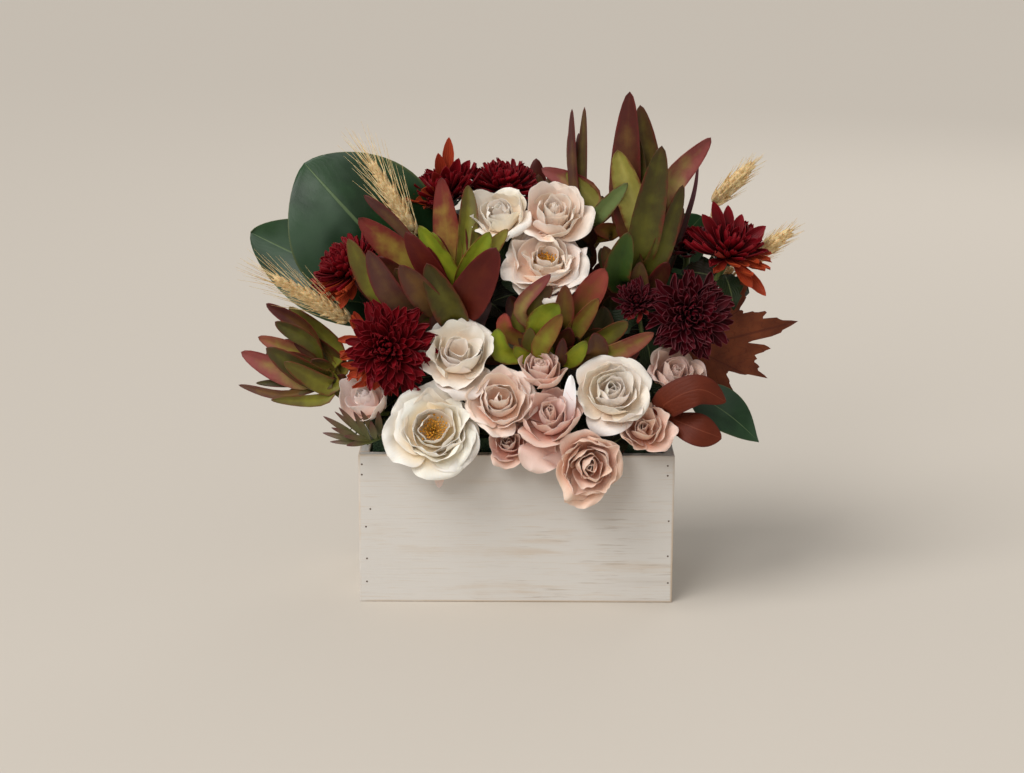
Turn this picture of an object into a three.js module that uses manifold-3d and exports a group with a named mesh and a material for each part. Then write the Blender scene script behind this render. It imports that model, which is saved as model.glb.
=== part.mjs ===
// A floral table centerpiece: roses, chrysanthemums, leafy heads, broad leaves and wheat
// that stand in a block of wet foam, in a lined box of whitewashed boards.
// Millimetres, +Z up, +X to the right, front face towards -Y. The origin is the middle of the
// underside of the box.
import * as THREE from 'three';
import { mergeVertices } from 'three/addons/utils/BufferGeometryUtils.js';
import Module from 'manifold-3d';

const wasm = await Module();
wasm.setup();

// ---- driving dimensions ----
const boxWidth = 260;
const boxDepth = 127;
const boxHeight = 127;
const boardThickness = 9;
const gap = 0.3; // left between pieces that touch
const linerWall = 1.5;
const linerTop = 120;
const foamTop = 138; // the block stands a little above the rim
const stemFloor = 92; // how deep the stems reach into the foam
const footAbove = 6; // how far their straight feet stand out of it
const tubeStart = foamTop + footAbove / 2; // the bent stems start inside the feet
const roseStemRadius = 1.5;
const mumStemRadius = 1.8;
const leafStemRadius = 2;
const footFlare = 0.6; // how much thicker a leaf stem's foot is
const leafFoot = leafStemRadius + footFlare;
const wheatFoot = 2.2; // the radius of a bunch's foot, and of two single stalks
const stalkFoot = 2;
const sprigRadius = 1.3;
const grown = 0.35; // how far a piece is enlarged before it is cut from a neighbour
const leastOverlap = 0.001; // cubic millimetres
const petalThickness = 0.9;
const roseBase = 0.12; // how far a rose's middle lies ahead of its stem, as a share of its radius
const openCoreTop = 0.15; // the height of an open rose's middle, as a share of its radius
const outerLeans = [62, 88]; // degrees from the axis at which a petal starts and ends
const innerLeans = [50, 4];
const openLeans = [48, 26]; // the inner petals of an open rose
const mumCore = 0.3; // the same for a chrysanthemum, and the radius of its core
const awnThickness = 0.9;
const spikelets = 8; // on each ear
const stamenCount = 8;

const colours = {
  paint: 0xcdc8be, liner: 0x2b2b2b, foam: 0x2f5d3a, stem: 0x5d6b34, stamen: 0xcd8c1e,
  mum: 0x6e0a1e, mumDark: 0x46101c, leaf: 0x7a6a35, glossy: 0x2d4b32, wheat: 0xd7b982,
  maple: 0x784123, copper: 0x783728, sprig: 0x4a5228, blade: 0x5a3838,
};

// Each rose: its middle, the way it faces, its radius, its petals (outer ring, inner ring)
const roses = {
  'rose-white-open': {
    at: [-70, -80, 150], face: [-0.05, -0.85, 0.5], radius: 40, rings: [5, 5], open: true, colour: 0xf0ebdc,
  },
  'rose-blush-left': {
    at: [-51, -52, 205], face: [0.05, -0.8, 0.6], radius: 33, rings: [5, 4], colour: 0xebdccd,
  },
  'rose-blush-cup': {
    at: [-14, -76, 174], face: [0, -0.85, 0.5], radius: 29, rings: [5, 4], colour: 0xe1c3b4,
  },
  'rose-mauve-bud': {
    at: [20, -66, 197], face: [-0.1, -0.8, 0.6], radius: 18, rings: [4, 3], colour: 0xc8a096,
  },
  'rose-mauve-low': {
    at: [29, -86, 158], face: [-0.1, -0.9, 0.4], radius: 22, rings: [5, 3], colour: 0xc39187,
  },
  'rose-cream-full': {
    at: [77, -72, 178], face: [0, -0.85, 0.5], radius: 32, rings: [5, 4], colour: 0xeee8de,
  },
  'rose-peach-drooping': {
    at: [58, -95, 128], face: [0, -0.98, -0.2], radius: 28, rings: [5, 4], colour: 0xcda08c,
  },
  'rose-taupe': {
    at: [102, -80, 150], face: [0.2, -0.9, 0.35], radius: 21, rings: [4, 3], colour: 0xc8a087,
  },
  'rose-pale-right': {
    at: [130, -45, 184], face: [0.35, -0.8, 0.5], radius: 26, rings: [5, 3], colour: 0xcdb4af,
  },
  'rose-pale-left': {
    at: [-120, -52, 163], face: [-0.45, -0.8, 0.4], radius: 21, rings: [4, 3], colour: 0xe6cdc8,
  },
  'rose-small-mauve': {
    at: [-8, -84, 139], face: [-0.1, -0.95, 0.2], radius: 15, rings: [4, 3], colour: 0xc39b91,
  },
  'rose-cream-top': {
    at: [-14, 4, 315], face: [-0.3, -0.7, 0.65], radius: 23, rings: [5, 3], colour: 0xeee6dc,
  },
  'rose-blush-top': {
    at: [28, 0, 316], face: [0.1, -0.75, 0.65], radius: 26, rings: [5, 4], colour: 0xf0d7cd,
  },
  'rose-open-top': {
    at: [23, -25, 275], face: [0, -0.6, 0.8], radius: 37, rings: [5, 4], open: true, colour: 0xebd7c8,
  },
  'rose-cream-back': {
    at: [-46, 74, 168], face: [-0.1, 0.85, 0.5], radius: 35, rings: [5, 4], colour: 0xeee6dc,
  },
  'rose-blush-back': {
    at: [34, 78, 172], face: [0.1, 0.85, 0.45], radius: 34, rings: [5, 4], colour: 0xe1c3b4,
  },
};

// Each chrysanthemum head: its middle, the way it faces, its radius, its rings of rays
const fullRings = [10, 9, 7];
const sideRings = [10, 8];
const mums = {
  'mum-left-front': { at: [-104, -58, 216], face: [-0.1, -0.95, 0.3], radius: 37, rings: fullRings },
  'mum-left-upper': { at: [-139, -6, 270], face: [-0.6, -0.35, 0.75], radius: 35, rings: fullRings },
  'mum-top-right': { at: [-12, 56, 324], face: [0.05, -0.25, 1], radius: 33, rings: sideRings },
  'mum-top-left': { at: [-60, 40, 322], face: [-0.4, -0.25, 0.9], radius: 31, rings: sideRings },
  'mum-right-upper': { at: [179, 5, 290], face: [0.25, -0.35, 0.92], radius: 32, rings: sideRings },
  'mum-right-behind': {
    at: [140, 42, 280], face: [-0.1, 0.2, 1], radius: 25, rings: sideRings, dark: true,
  },
  'mum-right-front': {
    at: [142, -38, 239], face: [0.15, -0.97, 0.2], radius: 35, rings: fullRings, dark: true,
  },
  'mum-half-open': { at: [98, -32, 249], face: [-0.1, -0.8, 0.6], radius: 20, rings: [7, 5], dark: true },
  'mum-back': { at: [-100, 68, 222], face: [-0.35, 0.9, 0.4], radius: 34, rings: sideRings },
};

// Each branched stem: where it enters the foam, where it forks, and the blooms that it carries
const sprays = {
  'rose-stems-left': {
    foot: [-70, -26], fork: [-72, -32, 162],
    blooms: ['rose-white-open', 'rose-blush-left', 'rose-pale-left'],
  },
  'rose-stems-middle': {
    foot: [6, -32], fork: [8, -40, 148],
    blooms: ['rose-blush-cup', 'rose-mauve-bud', 'rose-mauve-low', 'rose-small-mauve'],
  },
  'rose-stems-right': {
    foot: [84, -32], fork: [86, -38, 148],
    blooms: ['rose-cream-full', 'rose-peach-drooping', 'rose-taupe', 'rose-pale-right'],
  },
  'rose-stems-top': {
    foot: [6, 8], fork: [8, 12, 236],
    blooms: ['rose-cream-top', 'rose-blush-top', 'rose-open-top'],
  },
  'rose-stems-back': {
    foot: [-6, 34], fork: [-6, 40, 150],
    blooms: ['rose-cream-back', 'rose-blush-back'],
  },
  'mum-stems-left': {
    foot: [-100, -10], fork: [-106, -12, 176],
    blooms: ['mum-left-front', 'mum-left-upper'],
  },
  'mum-stems-top': { foot: [-32, 26], fork: [-34, 34, 236], blooms: ['mum-top-right', 'mum-top-left'] },
  'mum-stems-right': {
    foot: [100, 24], fork: [122, 26, 210],
    blooms: ['mum-right-upper', 'mum-right-behind'],
  },
  'mum-stems-low-right': {
    foot: [98, -8], fork: [112, -8, 190],
    blooms: ['mum-right-front', 'mum-half-open'],
  },
  'mum-stem-back': { foot: [-84, 34], fork: [-88, 42, 160], blooms: ['mum-back'] },
};

// Leafy heads: the stem's places, and each leaf as [root along the stem, tip, width]
const heads = {
  'leafy-head-left': {
    stem: [[-46, -6, 138], [-50, -14, 210], [-52, -24, 266]],
    leaves: [
      [1, [-63, -8, 348], 20], [1, [-44, -2, 341], 15], [0.9, [-79, -35, 310], 17],
      [0.85, [-91, -45, 305], 18], [0.8, [-74, -60, 287], 18], [0.8, [-131, -30, 314], 17],
      [0.9, [-130, -10, 336], 8], [0.75, [-137, -48, 300], 17], [0.7, [-120, -58, 294], 16],
      [0.7, [-92, -72, 270], 20], [0.85, [-14, -62, 300], 24], [0.9, [-40, -52, 288], 20],
      [1, [-30, -18, 323], 10], [0.95, [-4, -42, 308], 12],
    ],
  },
  'leafy-head-tall': {
    stem: [[66, 4, 138], [84, 6, 210], [102, 0, 278]],
    leaves: [
      [1, [93, 8, 417], 28], [1, [99, 24, 412], 20], [1, [115, 14, 371], 20], [1, [78, -8, 371], 20],
      [0.95, [119, -22, 376], 24], [1, [161, 16, 378], 22], [0.9, [138, -14, 344], 20],
      [0.85, [96, -30, 306], 18], [0.85, [128, 14, 328], 14], [0.8, [128, -18, 306], 16],
    ],
  },
  'leafy-head-upper-middle': {
    stem: [[36, 22, 138], [52, 32, 230], [58, 30, 312]],
    leaves: [
      [1, [45, 32, 399], 9], [1, [57, 38, 400], 9], [0.95, [18, 34, 352], 16], [0.95, [92, 0, 343], 15],
      [0.85, [88, -4, 308], 14], [0.9, [30, 52, 372], 14], [0.9, [84, 50, 360], 16],
    ],
  },
  'leafy-head-low-left': {
    stem: [[-108, -26, 138], [-130, -32, 168], [-158, -36, 196]],
    leaves: [
      [1, [-207, -30, 246], 15], [0.9, [-187, -10, 244], 15], [1, [-200, -44, 230], 14],
      [1, [-213, -24, 224], 16], [0.95, [-207, -52, 208], 15], [0.95, [-226, -38, 205], 16],
      [0.8, [-230, -46, 181], 8], [0.85, [-200, -60, 172], 14],
    ],
  },
  'leafy-head-centre': {
    stem: [[38, -10, 138], [34, -30, 180], [34, -42, 214]],
    leaves: [
      [1, [69, -52, 282], 17], [1, [62, -64, 262], 14], [0.9, [92, -64, 240], 15],
      [0.8, [112, -66, 232], 17],
      [1, [46, -44, 268], 14], [1, [27, -42, 276], 16], [1, [36, -62, 248], 13], [0.95, [11, -60, 254], 16],
      [0.9, [-16, -58, 244], 16], [0.8, [-22, -64, 232], 16], [0.85, [2, -72, 226], 14],
      [0.95, [32, -76, 228], 15], [0.85, [60, -80, 222], 14], [0.85, [14, -44, 262], 15],
    ],
  },
  'leafy-head-back': {
    stem: [[22, 40, 138], [20, 56, 200], [18, 70, 252]],
    leaves: [
      [1, [-14, 84, 334], 20], [1, [46, 86, 330], 20], [0.9, [-44, 98, 284], 18], [0.9, [76, 96, 292], 20],
      [1, [14, 100, 312], 18], [1, [16, 76, 352], 18], [0.85, [-30, 108, 240], 16], [0.8, [62, 110, 232], 16],
    ],
  },
};

// Broad glossy leaves: root and tip of each blade, its width and the way its upper face looks
const broadLeaves = {
  'broad-leaves-left': {
    stem: [[-62, 40, 138], [-74, 50, 196], [-82, 52, 244]],
    leaves: [
      { root: [-82, 52, 244], tip: [-182, 48, 350], width: 116, face: [-0.1, -0.95, 0.2], rows: 6 },
      { root: [-80, 52, 222], tip: [-226, 58, 300], width: 84, face: [0.1, -0.9, 0.3], rows: 6 },
      { root: [-65, 42, 152], tip: [-146, 82, 146], width: 52, face: [-0.3, 0.6, 0.8] },
    ],
  },
  'broad-leaf-right': {
    stem: [[110, -18, 138], [128, -18, 164], [146, -20, 172]],
    leaves: [{ root: [142, -20, 172], tip: [204, -30, 132], width: 46, face: [0.4, -0.7, 0.7] }],
  },
  'broad-leaves-back': {
    stem: [[70, 38, 138], [82, 56, 180], [84, 64, 214]],
    leaves: [
      { root: [84, 64, 213], tip: [160, 92, 300], width: 70, face: [0.3, 0.9, 0.3] },
      { root: [83, 58, 186], tip: [176, 84, 192], width: 56, face: [0.3, 0.8, 0.5] },
      { root: [79, 51, 166], tip: [126, 94, 122], width: 46, face: [0.3, 0.8, 0.6] },
    ],
  },
};

// Wheat: the foot in the foam, and for each ear where its stalk passes, its lower end and its tip
const wheat = {
  'wheat-left-upper': {
    foot: [-60, 22],
    ears: [{ via: [[-66, 12, 250]], from: [-85, 6, 297], to: [-122, 10, 359], awns: 34 }],
  },
  'wheat-left-lower': {
    foot: [-90, 10],
    ears: [{ via: [[-108, -12, 204]], from: [-138, -22, 230], to: [-200, -42, 271], awns: 34 }],
  },
  'wheat-right': {
    foot: [108, 42],
    ears: [
      { via: [[142, 58, 206], [173, 56, 262]], from: [166, 56, 316], to: [201, 54, 353], awns: 8 },
      { via: [[150, 56, 214]], from: [193, 32, 270], to: [232, 26, 300], awns: 8 },
      { via: [[132, 42, 200]], from: [157, 29, 250], to: [183, 27, 268], awns: 8 },
    ],
  },
};

const mapleAt = [146, 4, 203];
const mapleSize = 92;
const mapleFoot = [113, 6];
const mapleTurn = 22; // degrees of its middle lobe above level
const mapleHalf = [ // half of the lobed outline, as [degrees from the middle lobe, share of its length]
  [7, 0.8], [13, 0.83], [13, 0.62], [20, 0.46], [27, 0.62], [38, 0.84], [44, 0.66], [53, 0.62],
  [56, 0.44], [70, 0.28], [84, 0.36], [100, 0.44], [112, 0.27], [140, 0.14],
];

const copperLeaves = {
  stem: [[116, -40, 138], [124, -58, 150], [124, -68, 165]],
  leaves: [
    { root: [124, -67, 163], tip: [169, -80, 190], width: 30, face: [0.1, -0.8, 0.6] },
    { root: [124, -66, 160], tip: [167, -82, 151], width: 28, face: [0.1, -0.9, 0.4] },
  ],
};

const sprig = {
  stem: [[-98, -42, 138], [-104, -60, 144], [-122, -74, 139]],
  leaves: [
    [1, [-158, -74, 148], 5], [1, [-157, -78, 163], 5], [0.95, [-150, -84, 155], 5],
    [0.8, [-118, -82, 160], 6], [0.9, [-132, -82, 168], 5], [0.95, [-144, -80, 171], 5],
    [0.85, [-138, -84, 140], 5],
  ],
};

const grassPath = [
  [92, 30, 138], [112, 22, 220], [127, 17, 267], [141, 20, 309], [148, 22, 335], [151, 25, 363],
];
const grassWidth = 5;

// ---- joining and cutting ----
function vec(list) {
  return new THREE.Vector3(...list);
}

function toSolid(geometry) {
  const bare = geometry.clone();
  bare.deleteAttribute('normal');
  bare.deleteAttribute('uv');
  const merged = mergeVertices(bare, 1e-4);
  return new wasm.Manifold(new wasm.Mesh({
    numProp: 3,
    vertProperties: new Float32Array(merged.attributes.position.array),
    triVerts: new Uint32Array(merged.index.array),
  }));
}

function toGeometry(solid) {
  const mesh = solid.getMesh();
  const geometry = new THREE.BufferGeometry();
  geometry.setAttribute('position', new THREE.BufferAttribute(new Float32Array(mesh.vertProperties), 3));
  geometry.setIndex(new THREE.BufferAttribute(new Uint32Array(mesh.triVerts), 1));
  geometry.computeVertexNormals();
  return geometry;
}

function join(geometries) {
  return geometries.map(toSolid).reduce((whole, piece) => whole.add(piece));
}

function largestBody(solid) {
  return solid.decompose().reduce((best, body) => (body.volume() > best.volume() ? body : best));
}

// ---- shapes ----

// A closed mesh from points and triangles, with its faces turned outward.
function closedMesh(points, triangles) {
  let volume = 0;
  for (const [a, b, c] of triangles) {
    volume += points[a].dot(points[b].clone().cross(points[c]));
  }
  const outward = volume > 0 ? triangles : triangles.map(([a, b, c]) => [a, c, b]);
  const geometry = new THREE.BufferGeometry();
  geometry.setFromPoints(points);
  geometry.setIndex(outward.flat());
  return geometry;
}

// Skin over rings of points, drawn together to one point at the root and one at the tip.
function spindle(root, rings, tip) {
  const sides = rings[0].length;
  const points = [...rings.flat(), root, tip];
  const last = (rings.length - 1) * sides;
  const triangles = [];
  for (let side = 0; side < sides; side += 1) {
    const next = (side + 1) % sides;
    for (let start = 0; start < last; start += sides) {
      triangles.push([start + side, start + next, start + next + sides]);
      triangles.push([start + side, start + next + sides, start + side + sides]);
    }
    triangles.push([next, side, points.length - 2], [last + side, last + next, points.length - 1]);
  }
  return closedMesh(points, triangles);
}

// A thin lens over a grid: the rim is shared, the inner points lie on both faces. Its first row
// is one point, the root, and so is its last row if it has a pointed tip.
function lens(surface, columns, rows, thickness, pointedTip = false) {
  const points = [];
  const front = [];
  const back = [];
  const step = 0.01;
  for (let row = 0; row <= rows; row += 1) {
    for (let column = 0; column <= columns; column += 1) {
      const s = (2 * column) / columns - 1;
      const t = row / rows;
      const onePoint = row === 0 || (pointedTip && row === rows);
      if (onePoint && column > 0) {
        front.push(front.at(-1));
        back.push(back.at(-1));
        continue;
      }
      const middle = surface(onePoint ? 0 : s, t);
      front.push(points.length);
      back.push(points.length);
      points.push(middle);
      if (row > 0 && row < rows && column > 0 && column < columns) {
        const across = surface(s + step, t).sub(surface(s - step, t));
        const along = surface(s, t + step).sub(surface(s, t - step));
        const normal = across.cross(along).normalize().multiplyScalar(thickness / 2);
        points.push(middle.clone().sub(normal));
        middle.add(normal);
        back[back.length - 1] += 1;
      }
    }
  }
  const triangles = [];
  for (let row = 0; row < rows; row += 1) {
    for (let column = 0; column < columns; column += 1) {
      const a = row * (columns + 1) + column;
      for (const corners of [[a, a + 1, a + columns + 2], [a, a + columns + 2, a + columns + 1]]) {
        triangles.push(corners.map((corner) => front[corner]));
        triangles.push(corners.reverse().map((corner) => back[corner]));
      }
    }
  }
  return closedMesh(points, triangles.filter((triangle) => new Set(triangle).size === 3));
}

// A narrow leaf from root to tip: three-sided, with a keel, widest a little below its middle.
function narrowLeaf(root, tip, width, face, extra = 0) {
  const length = root.distanceTo(tip);
  const bow = face.clone().multiplyScalar(length * 0.1);
  const curve = new THREE.QuadraticBezierCurve3(root, root.clone().lerp(tip, 0.5).add(bow), tip);
  const stations = [[0.42, 1], [0.78, 0.72]];
  const rings = stations.map(([place, share]) => {
    const middle = curve.getPoint(place);
    const along = curve.getTangent(place);
    const side = along.clone().cross(face).normalize();
    const up = side.clone().cross(along).normalize();
    const half = (width / 2) * share * (extra ? 1.2 : 1) + extra; // its edges are sharp
    return [
      middle.clone().addScaledVector(side, -half).addScaledVector(up, 0.4 + extra),
      middle.clone().addScaledVector(side, half).addScaledVector(up, 0.4 + extra),
      middle.clone().addScaledVector(up, -1.1 - extra),
    ];
  });
  const end = curve.getPoint(1).addScaledVector(curve.getTangent(1), 8 * extra);
  return spindle(root, rings, end);
}

// A broad leaf: a gently folded and arched sheet with a rounded outline and a short point.
function broadLeaf({ root, tip, width, face, rows = 3 }, extra = 0) {
  const from = vec(root);
  const to = vec(tip);
  const along = to.clone().sub(from);
  const length = along.length();
  along.normalize();
  const side = along.clone().cross(vec(face)).normalize();
  const up = side.clone().cross(along).normalize();
  const surface = (s, t) => {
    const grownT = t * (1 + extra / length);
    const outline = Math.sin(Math.PI * Math.min(t, 1) ** 0.85) ** 0.62;
    const half = (width / 2 + extra) * Math.max(outline, 0.03);
    const fold = 0.16 * Math.abs(s) * half;
    const arch = length * 0.1 * Math.sin(Math.PI * t);
    return from.clone()
      .addScaledVector(along, grownT * length)
      .addScaledVector(side, s * half)
      .addScaledVector(up, fold + arch);
  };
  return lens(surface, 4, rows, 1.4 + 2 * extra, true);
}

// The straight length of a stem that stands in its hole in the foam.
function stemFoot([x, y], radius, extra) {
  const height = foamTop + footAbove - stemFloor + extra;
  const foot = new THREE.CylinderGeometry(radius + extra, radius + extra, height, 5);
  return foot.rotateX(Math.PI / 2).translate(x, y, foamTop + footAbove - height / 2);
}

function tube(points, radius, steps, sides = 4) {
  const section = new THREE.Shape();
  for (let side = 0; side < sides; side += 1) {
    const angle = (2 * Math.PI * side) / sides;
    const place = [radius * Math.cos(angle), radius * Math.sin(angle)];
    if (side === 0) section.moveTo(...place);
    else section.lineTo(...place);
  }
  const curve = new THREE.CatmullRomCurve3(points, false, 'centripetal');
  return new THREE.ExtrudeGeometry(section, { steps, bevelEnabled: false, extrudePath: curve });
}

// Turns a shape made around +Z to face a direction, and puts it in its place.
function placed(geometry, at, face) {
  const turn = new THREE.Quaternion().setFromUnitVectors(new THREE.Vector3(0, 0, 1), vec(face).normalize());
  geometry.applyQuaternion(turn);
  return geometry.translate(...at);
}

function lathe(profile, sides) {
  const points = profile.map(([radius, height]) => new THREE.Vector2(radius, height));
  return new THREE.LatheGeometry(points, sides).rotateX(Math.PI / 2);
}

// One rose petal around +Z: a fan that keeps inside its share of the ring, so that it crosses no other.
// It leaves the middle at one lean from the axis and ends at another.
function rosePetal({ angle, length, share, leans, lift, columns }, extra) {
  const [start, end] = leans.map((lean) => (lean * Math.PI) / 180);
  const rootRadius = length * 0.08;
  const surface = (s, t) => {
    const reach = t * (1 - 0.1 * s * s) * (1 + extra / length);
    const lean = start + (end - start) * reach;
    const out = rootRadius + (length * (Math.cos(start) - Math.cos(lean))) / (end - start);
    const up = lift + (length * (Math.sin(lean) - Math.sin(start))) / (end - start);
    const half = 0.94 * share * out * (1 - 0.15 * t ** 4) + extra;
    const cup = Math.max(out, length * 0.5);
    const around = (s * half) / cup;
    return new THREE.Vector3(out - cup * (1 - Math.cos(around)), cup * Math.sin(around), up)
      .applyAxisAngle(new THREE.Vector3(0, 0, 1), angle);
  };
  return lens(surface, columns, 2, petalThickness + 2 * extra);
}

// The middle of a rose, from its base up: low in an open rose, a tight bud in the others.
const openCore = [[0, -roseBase], [0.2, -0.02], [0.17, openCoreTop - 0.03], [0, openCoreTop]];
const budCore = [[0, -roseBase], [0.2, -0.02], [0.28, 0.34], [0, 0.66]];

function roseCore(radius, open, extra) {
  const profile = (open ? openCore : budCore).map(([out, up]) => [
    out && out * radius + extra,
    up * radius + (up > 0 ? extra : -extra),
  ]);
  return lathe(profile, 6);
}

function petalRing(count, startTurn, petal, extra) {
  return Array.from({ length: count }, (_, index) => {
    const angle = (2 * Math.PI * (index + startTurn)) / count;
    return rosePetal({ ...petal, angle, share: Math.PI / count }, extra);
  });
}

function roseBloom({ at, face, radius, rings, open }, extra = 0) {
  const [outerCount, innerCount] = rings;
  const outer = { length: radius, leans: outerLeans, lift: 0, columns: 3 };
  const inner = {
    length: 0.8 * radius, leans: open ? openLeans : innerLeans, lift: 0.1 * radius, columns: 2,
  };
  const parts = [
    roseCore(radius, open, extra),
    ...petalRing(outerCount, 0, outer, extra),
    ...petalRing(innerCount, 0.5, inner, extra),
  ];
  parts.forEach((part) => placed(part, at, face));
  return join(parts);
}

// The room that a bloom takes up, as a plain turned shape.
const roseRoom = [[0, -0.18], [0.45, -0.1], [1.12, 0.08], [1.12, 0.38], [0.62, 0.94], [0, 0.98]];
const mumRoom = [
  [0, -0.36], [0.5, -0.32], [1.1, -0.2], [1.12, 0.15], [1.05, 0.45], [0.72, 0.76], [0, 0.84],
];

function bloomRoom({ at, face, radius }, profile) {
  const scaled = profile.map(([out, up]) => [out * radius, up * radius]);
  return toSolid(placed(lathe(scaled, 8), at, face));
}

// Stamens stand on a small disc in the middle of an open rose.
function stamens({ at, face, radius }, extra = 0) {
  const floor = openCoreTop * radius + gap;
  const disc = [
    [0, floor - extra], [0.08 * radius + extra, floor - extra],
    [0.07 * radius + extra, floor + 1.6 + extra], [0, floor + 1.8 + extra],
  ];
  const pieces = [lathe(disc, 7)];
  for (let index = 0; index < stamenCount; index += 1) {
    const turn = (2 * Math.PI * index) / stamenCount;
    const lean = index % 2 ? 0.55 : 0.25;
    const outward = new THREE.Vector3(Math.cos(turn), Math.sin(turn), 0);
    const root = outward.clone().multiplyScalar(0.06 * radius).setZ(floor + 0.6);
    const along = outward.clone().multiplyScalar(Math.sin(lean)).setZ(Math.cos(lean));
    const head = root.clone().addScaledVector(along, 0.2 * radius);
    pieces.push(needle(root, head, 1.4 + 2 * extra));
  }
  pieces.forEach((piece) => placed(piece, at, face));
  return join(pieces);
}

// A three-sided needle.
function needle(root, tip, thickness) {
  const along = tip.clone().sub(root).normalize();
  const across = along.clone().cross(new THREE.Vector3(0.3, 0.2, 0.9)).normalize();
  const ring = [0, 1, 2].map((corner) => across.clone()
    .applyAxisAngle(along, (2 * Math.PI * corner) / 3).multiplyScalar(thickness * 0.6).add(root));
  return spindle(root.clone().addScaledVector(along, -0.5), [ring], tip);
}

// One ray of a chrysanthemum: a three-sided blade, widest beyond its middle, that leaves the core.
function ray(turn, lean, length, width, extra) {
  const outward = new THREE.Vector3(Math.cos(turn), Math.sin(turn), 0);
  const along = outward.clone().multiplyScalar(Math.cos(lean)).setZ(Math.sin(lean));
  const side = new THREE.Vector3(-Math.sin(turn), Math.cos(turn), 0);
  const up = side.clone().cross(along);
  if (up.z < 0) up.negate();
  const root = along.clone().multiplyScalar(length * 0.12);
  const widest = along.clone().multiplyScalar(length * 0.72).addScaledVector(up, length * 0.06);
  const half = width / 2 + extra;
  const ring = [
    widest.clone().addScaledVector(side, -half).addScaledVector(up, 0.7 + extra),
    widest.clone().addScaledVector(side, half).addScaledVector(up, 0.7 + extra),
    widest.clone().addScaledVector(up, -0.9 - extra),
  ];
  return spindle(root, [ring], along.clone().multiplyScalar(length + extra).addScaledVector(up, length * 0.14));
}

const rayLeans = [-0.1, 0.4, 0.95]; // each ring above the last, in radians
const rayLengths = [1, 0.93, 0.78];

function mumHead({ at, face, radius, rings }, extra = 0) {
  const core = new THREE.SphereGeometry(radius * mumCore + extra, 7, 4).rotateX(Math.PI / 2);
  const pieces = [core];
  rings.forEach((count, ring) => {
    for (let index = 0; index < count; index += 1) {
      const turn = (2 * Math.PI * (index + 0.5 * (ring % 2))) / count;
      pieces.push(ray(turn, rayLeans[ring], radius * rayLengths[ring], radius * 0.24, extra));
    }
  });
  pieces.forEach((piece) => placed(piece, at, face));
  return join(pieces);
}

// The stem under a bloom ends at its base.
function bloomBase(name) {
  const bloom = roses[name] ?? mums[name];
  const ahead = vec(bloom.face).normalize();
  const depth = (roses[name] ? roseBase : mumCore) * bloom.radius + gap;
  return { end: vec(bloom.at).addScaledVector(ahead, -depth), ahead, radius: bloom.radius };
}

function stemSpray({ foot, fork, blooms }, radius, extra = 0) {
  const split = vec(fork);
  const trunk = [new THREE.Vector3(...foot, tubeStart), split.clone().add(new THREE.Vector3(0, 0, 3))];
  const parts = [stemFoot(foot, radius + 1, extra), tube(trunk, radius + 0.5 + extra, 1)];
  for (const name of blooms) {
    const { end, ahead, radius: bloomRadius } = bloomBase(name);
    const before = end.clone().addScaledVector(ahead, -0.6 * bloomRadius);
    parts.push(tube([split, before, end], radius + extra, 3));
  }
  return join(parts);
}

// A stem that stands in the foam and carries leaves, with a knob at its top that their roots sit in.
function leafStem(points, radius, extra, knob = 0) {
  const [x, y] = points[0];
  const path = [new THREE.Vector3(x, y, tubeStart), ...points.slice(1).map(vec)];
  const parts = [stemFoot([x, y], radius + footFlare, extra), tube(path, radius + extra, 4)];
  if (knob) parts.push(new THREE.SphereGeometry(knob + extra, 6, 4).translate(...points.at(-1)));
  return parts;
}

function leafyHead({ stem, leaves }, radius, extra = 0) {
  const curve = new THREE.CatmullRomCurve3(stem.map(vec), false, 'centripetal');
  const parts = leafStem(stem, radius, extra, 2.8 * radius);
  for (const [share, tip, width] of leaves) {
    const end = vec(tip);
    const root = curve.getPoint(share);
    const outward = end.clone().sub(root).setZ(0).normalize();
    if (share === 1) root.addScaledVector(outward, radius);
    const face = outward.add(new THREE.Vector3(0, end.y > 60 ? 1.4 : -1.4, 0.2)).normalize();
    parts.push(narrowLeaf(root, end, width, face, extra));
  }
  return join(parts);
}

function broadSpray({ stem, leaves }, extra = 0) {
  return join([...leafStem(stem, leafStemRadius, extra), ...leaves.map((leaf) => broadLeaf(leaf, extra))]);
}

// An ear of wheat: spikelets in turn around the axis, each second one with an awn.
function wheatEar({ from, to, awns }, extra) {
  const low = vec(from);
  const high = vec(to);
  const along = high.clone().sub(low);
  const length = along.length();
  along.normalize();
  const across = along.clone().cross(new THREE.Vector3(0, 1, 0)).normalize();
  const rachis = [low.clone().addScaledVector(along, -3), high.clone().addScaledVector(along, -5)];
  const parts = [tube(rachis, 2.6 + extra, 1)];
  for (let index = 0; index < spikelets; index += 1) {
    const outward = across.clone().applyAxisAngle(along, index * 1.75 + 0.4);
    const side = along.clone().cross(outward).normalize();
    const root = low.clone().addScaledVector(along, (index * (length - 16)) / (spikelets - 1));
    const tip = root.clone().addScaledVector(along, 16 + extra).addScaledVector(outward, 6);
    const belly = root.clone().lerp(tip, 0.45).addScaledVector(outward, 1);
    const size = 3 + extra;
    const corners = [
      belly.clone().addScaledVector(side, -size),
      belly.clone().addScaledVector(side, size),
      belly.clone().addScaledVector(outward, size),
    ];
    parts.push(spindle(root, [corners], tip));
    if (index % 2) {
      const reach = awns * (0.8 + 0.2 * Math.sin(index * 2.4));
      const away = along.clone().addScaledVector(outward, 0.25).normalize();
      const end = tip.clone().addScaledVector(away, reach + extra);
      parts.push(needle(belly, end, awnThickness + extra));
    }
  }
  return parts;
}

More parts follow.
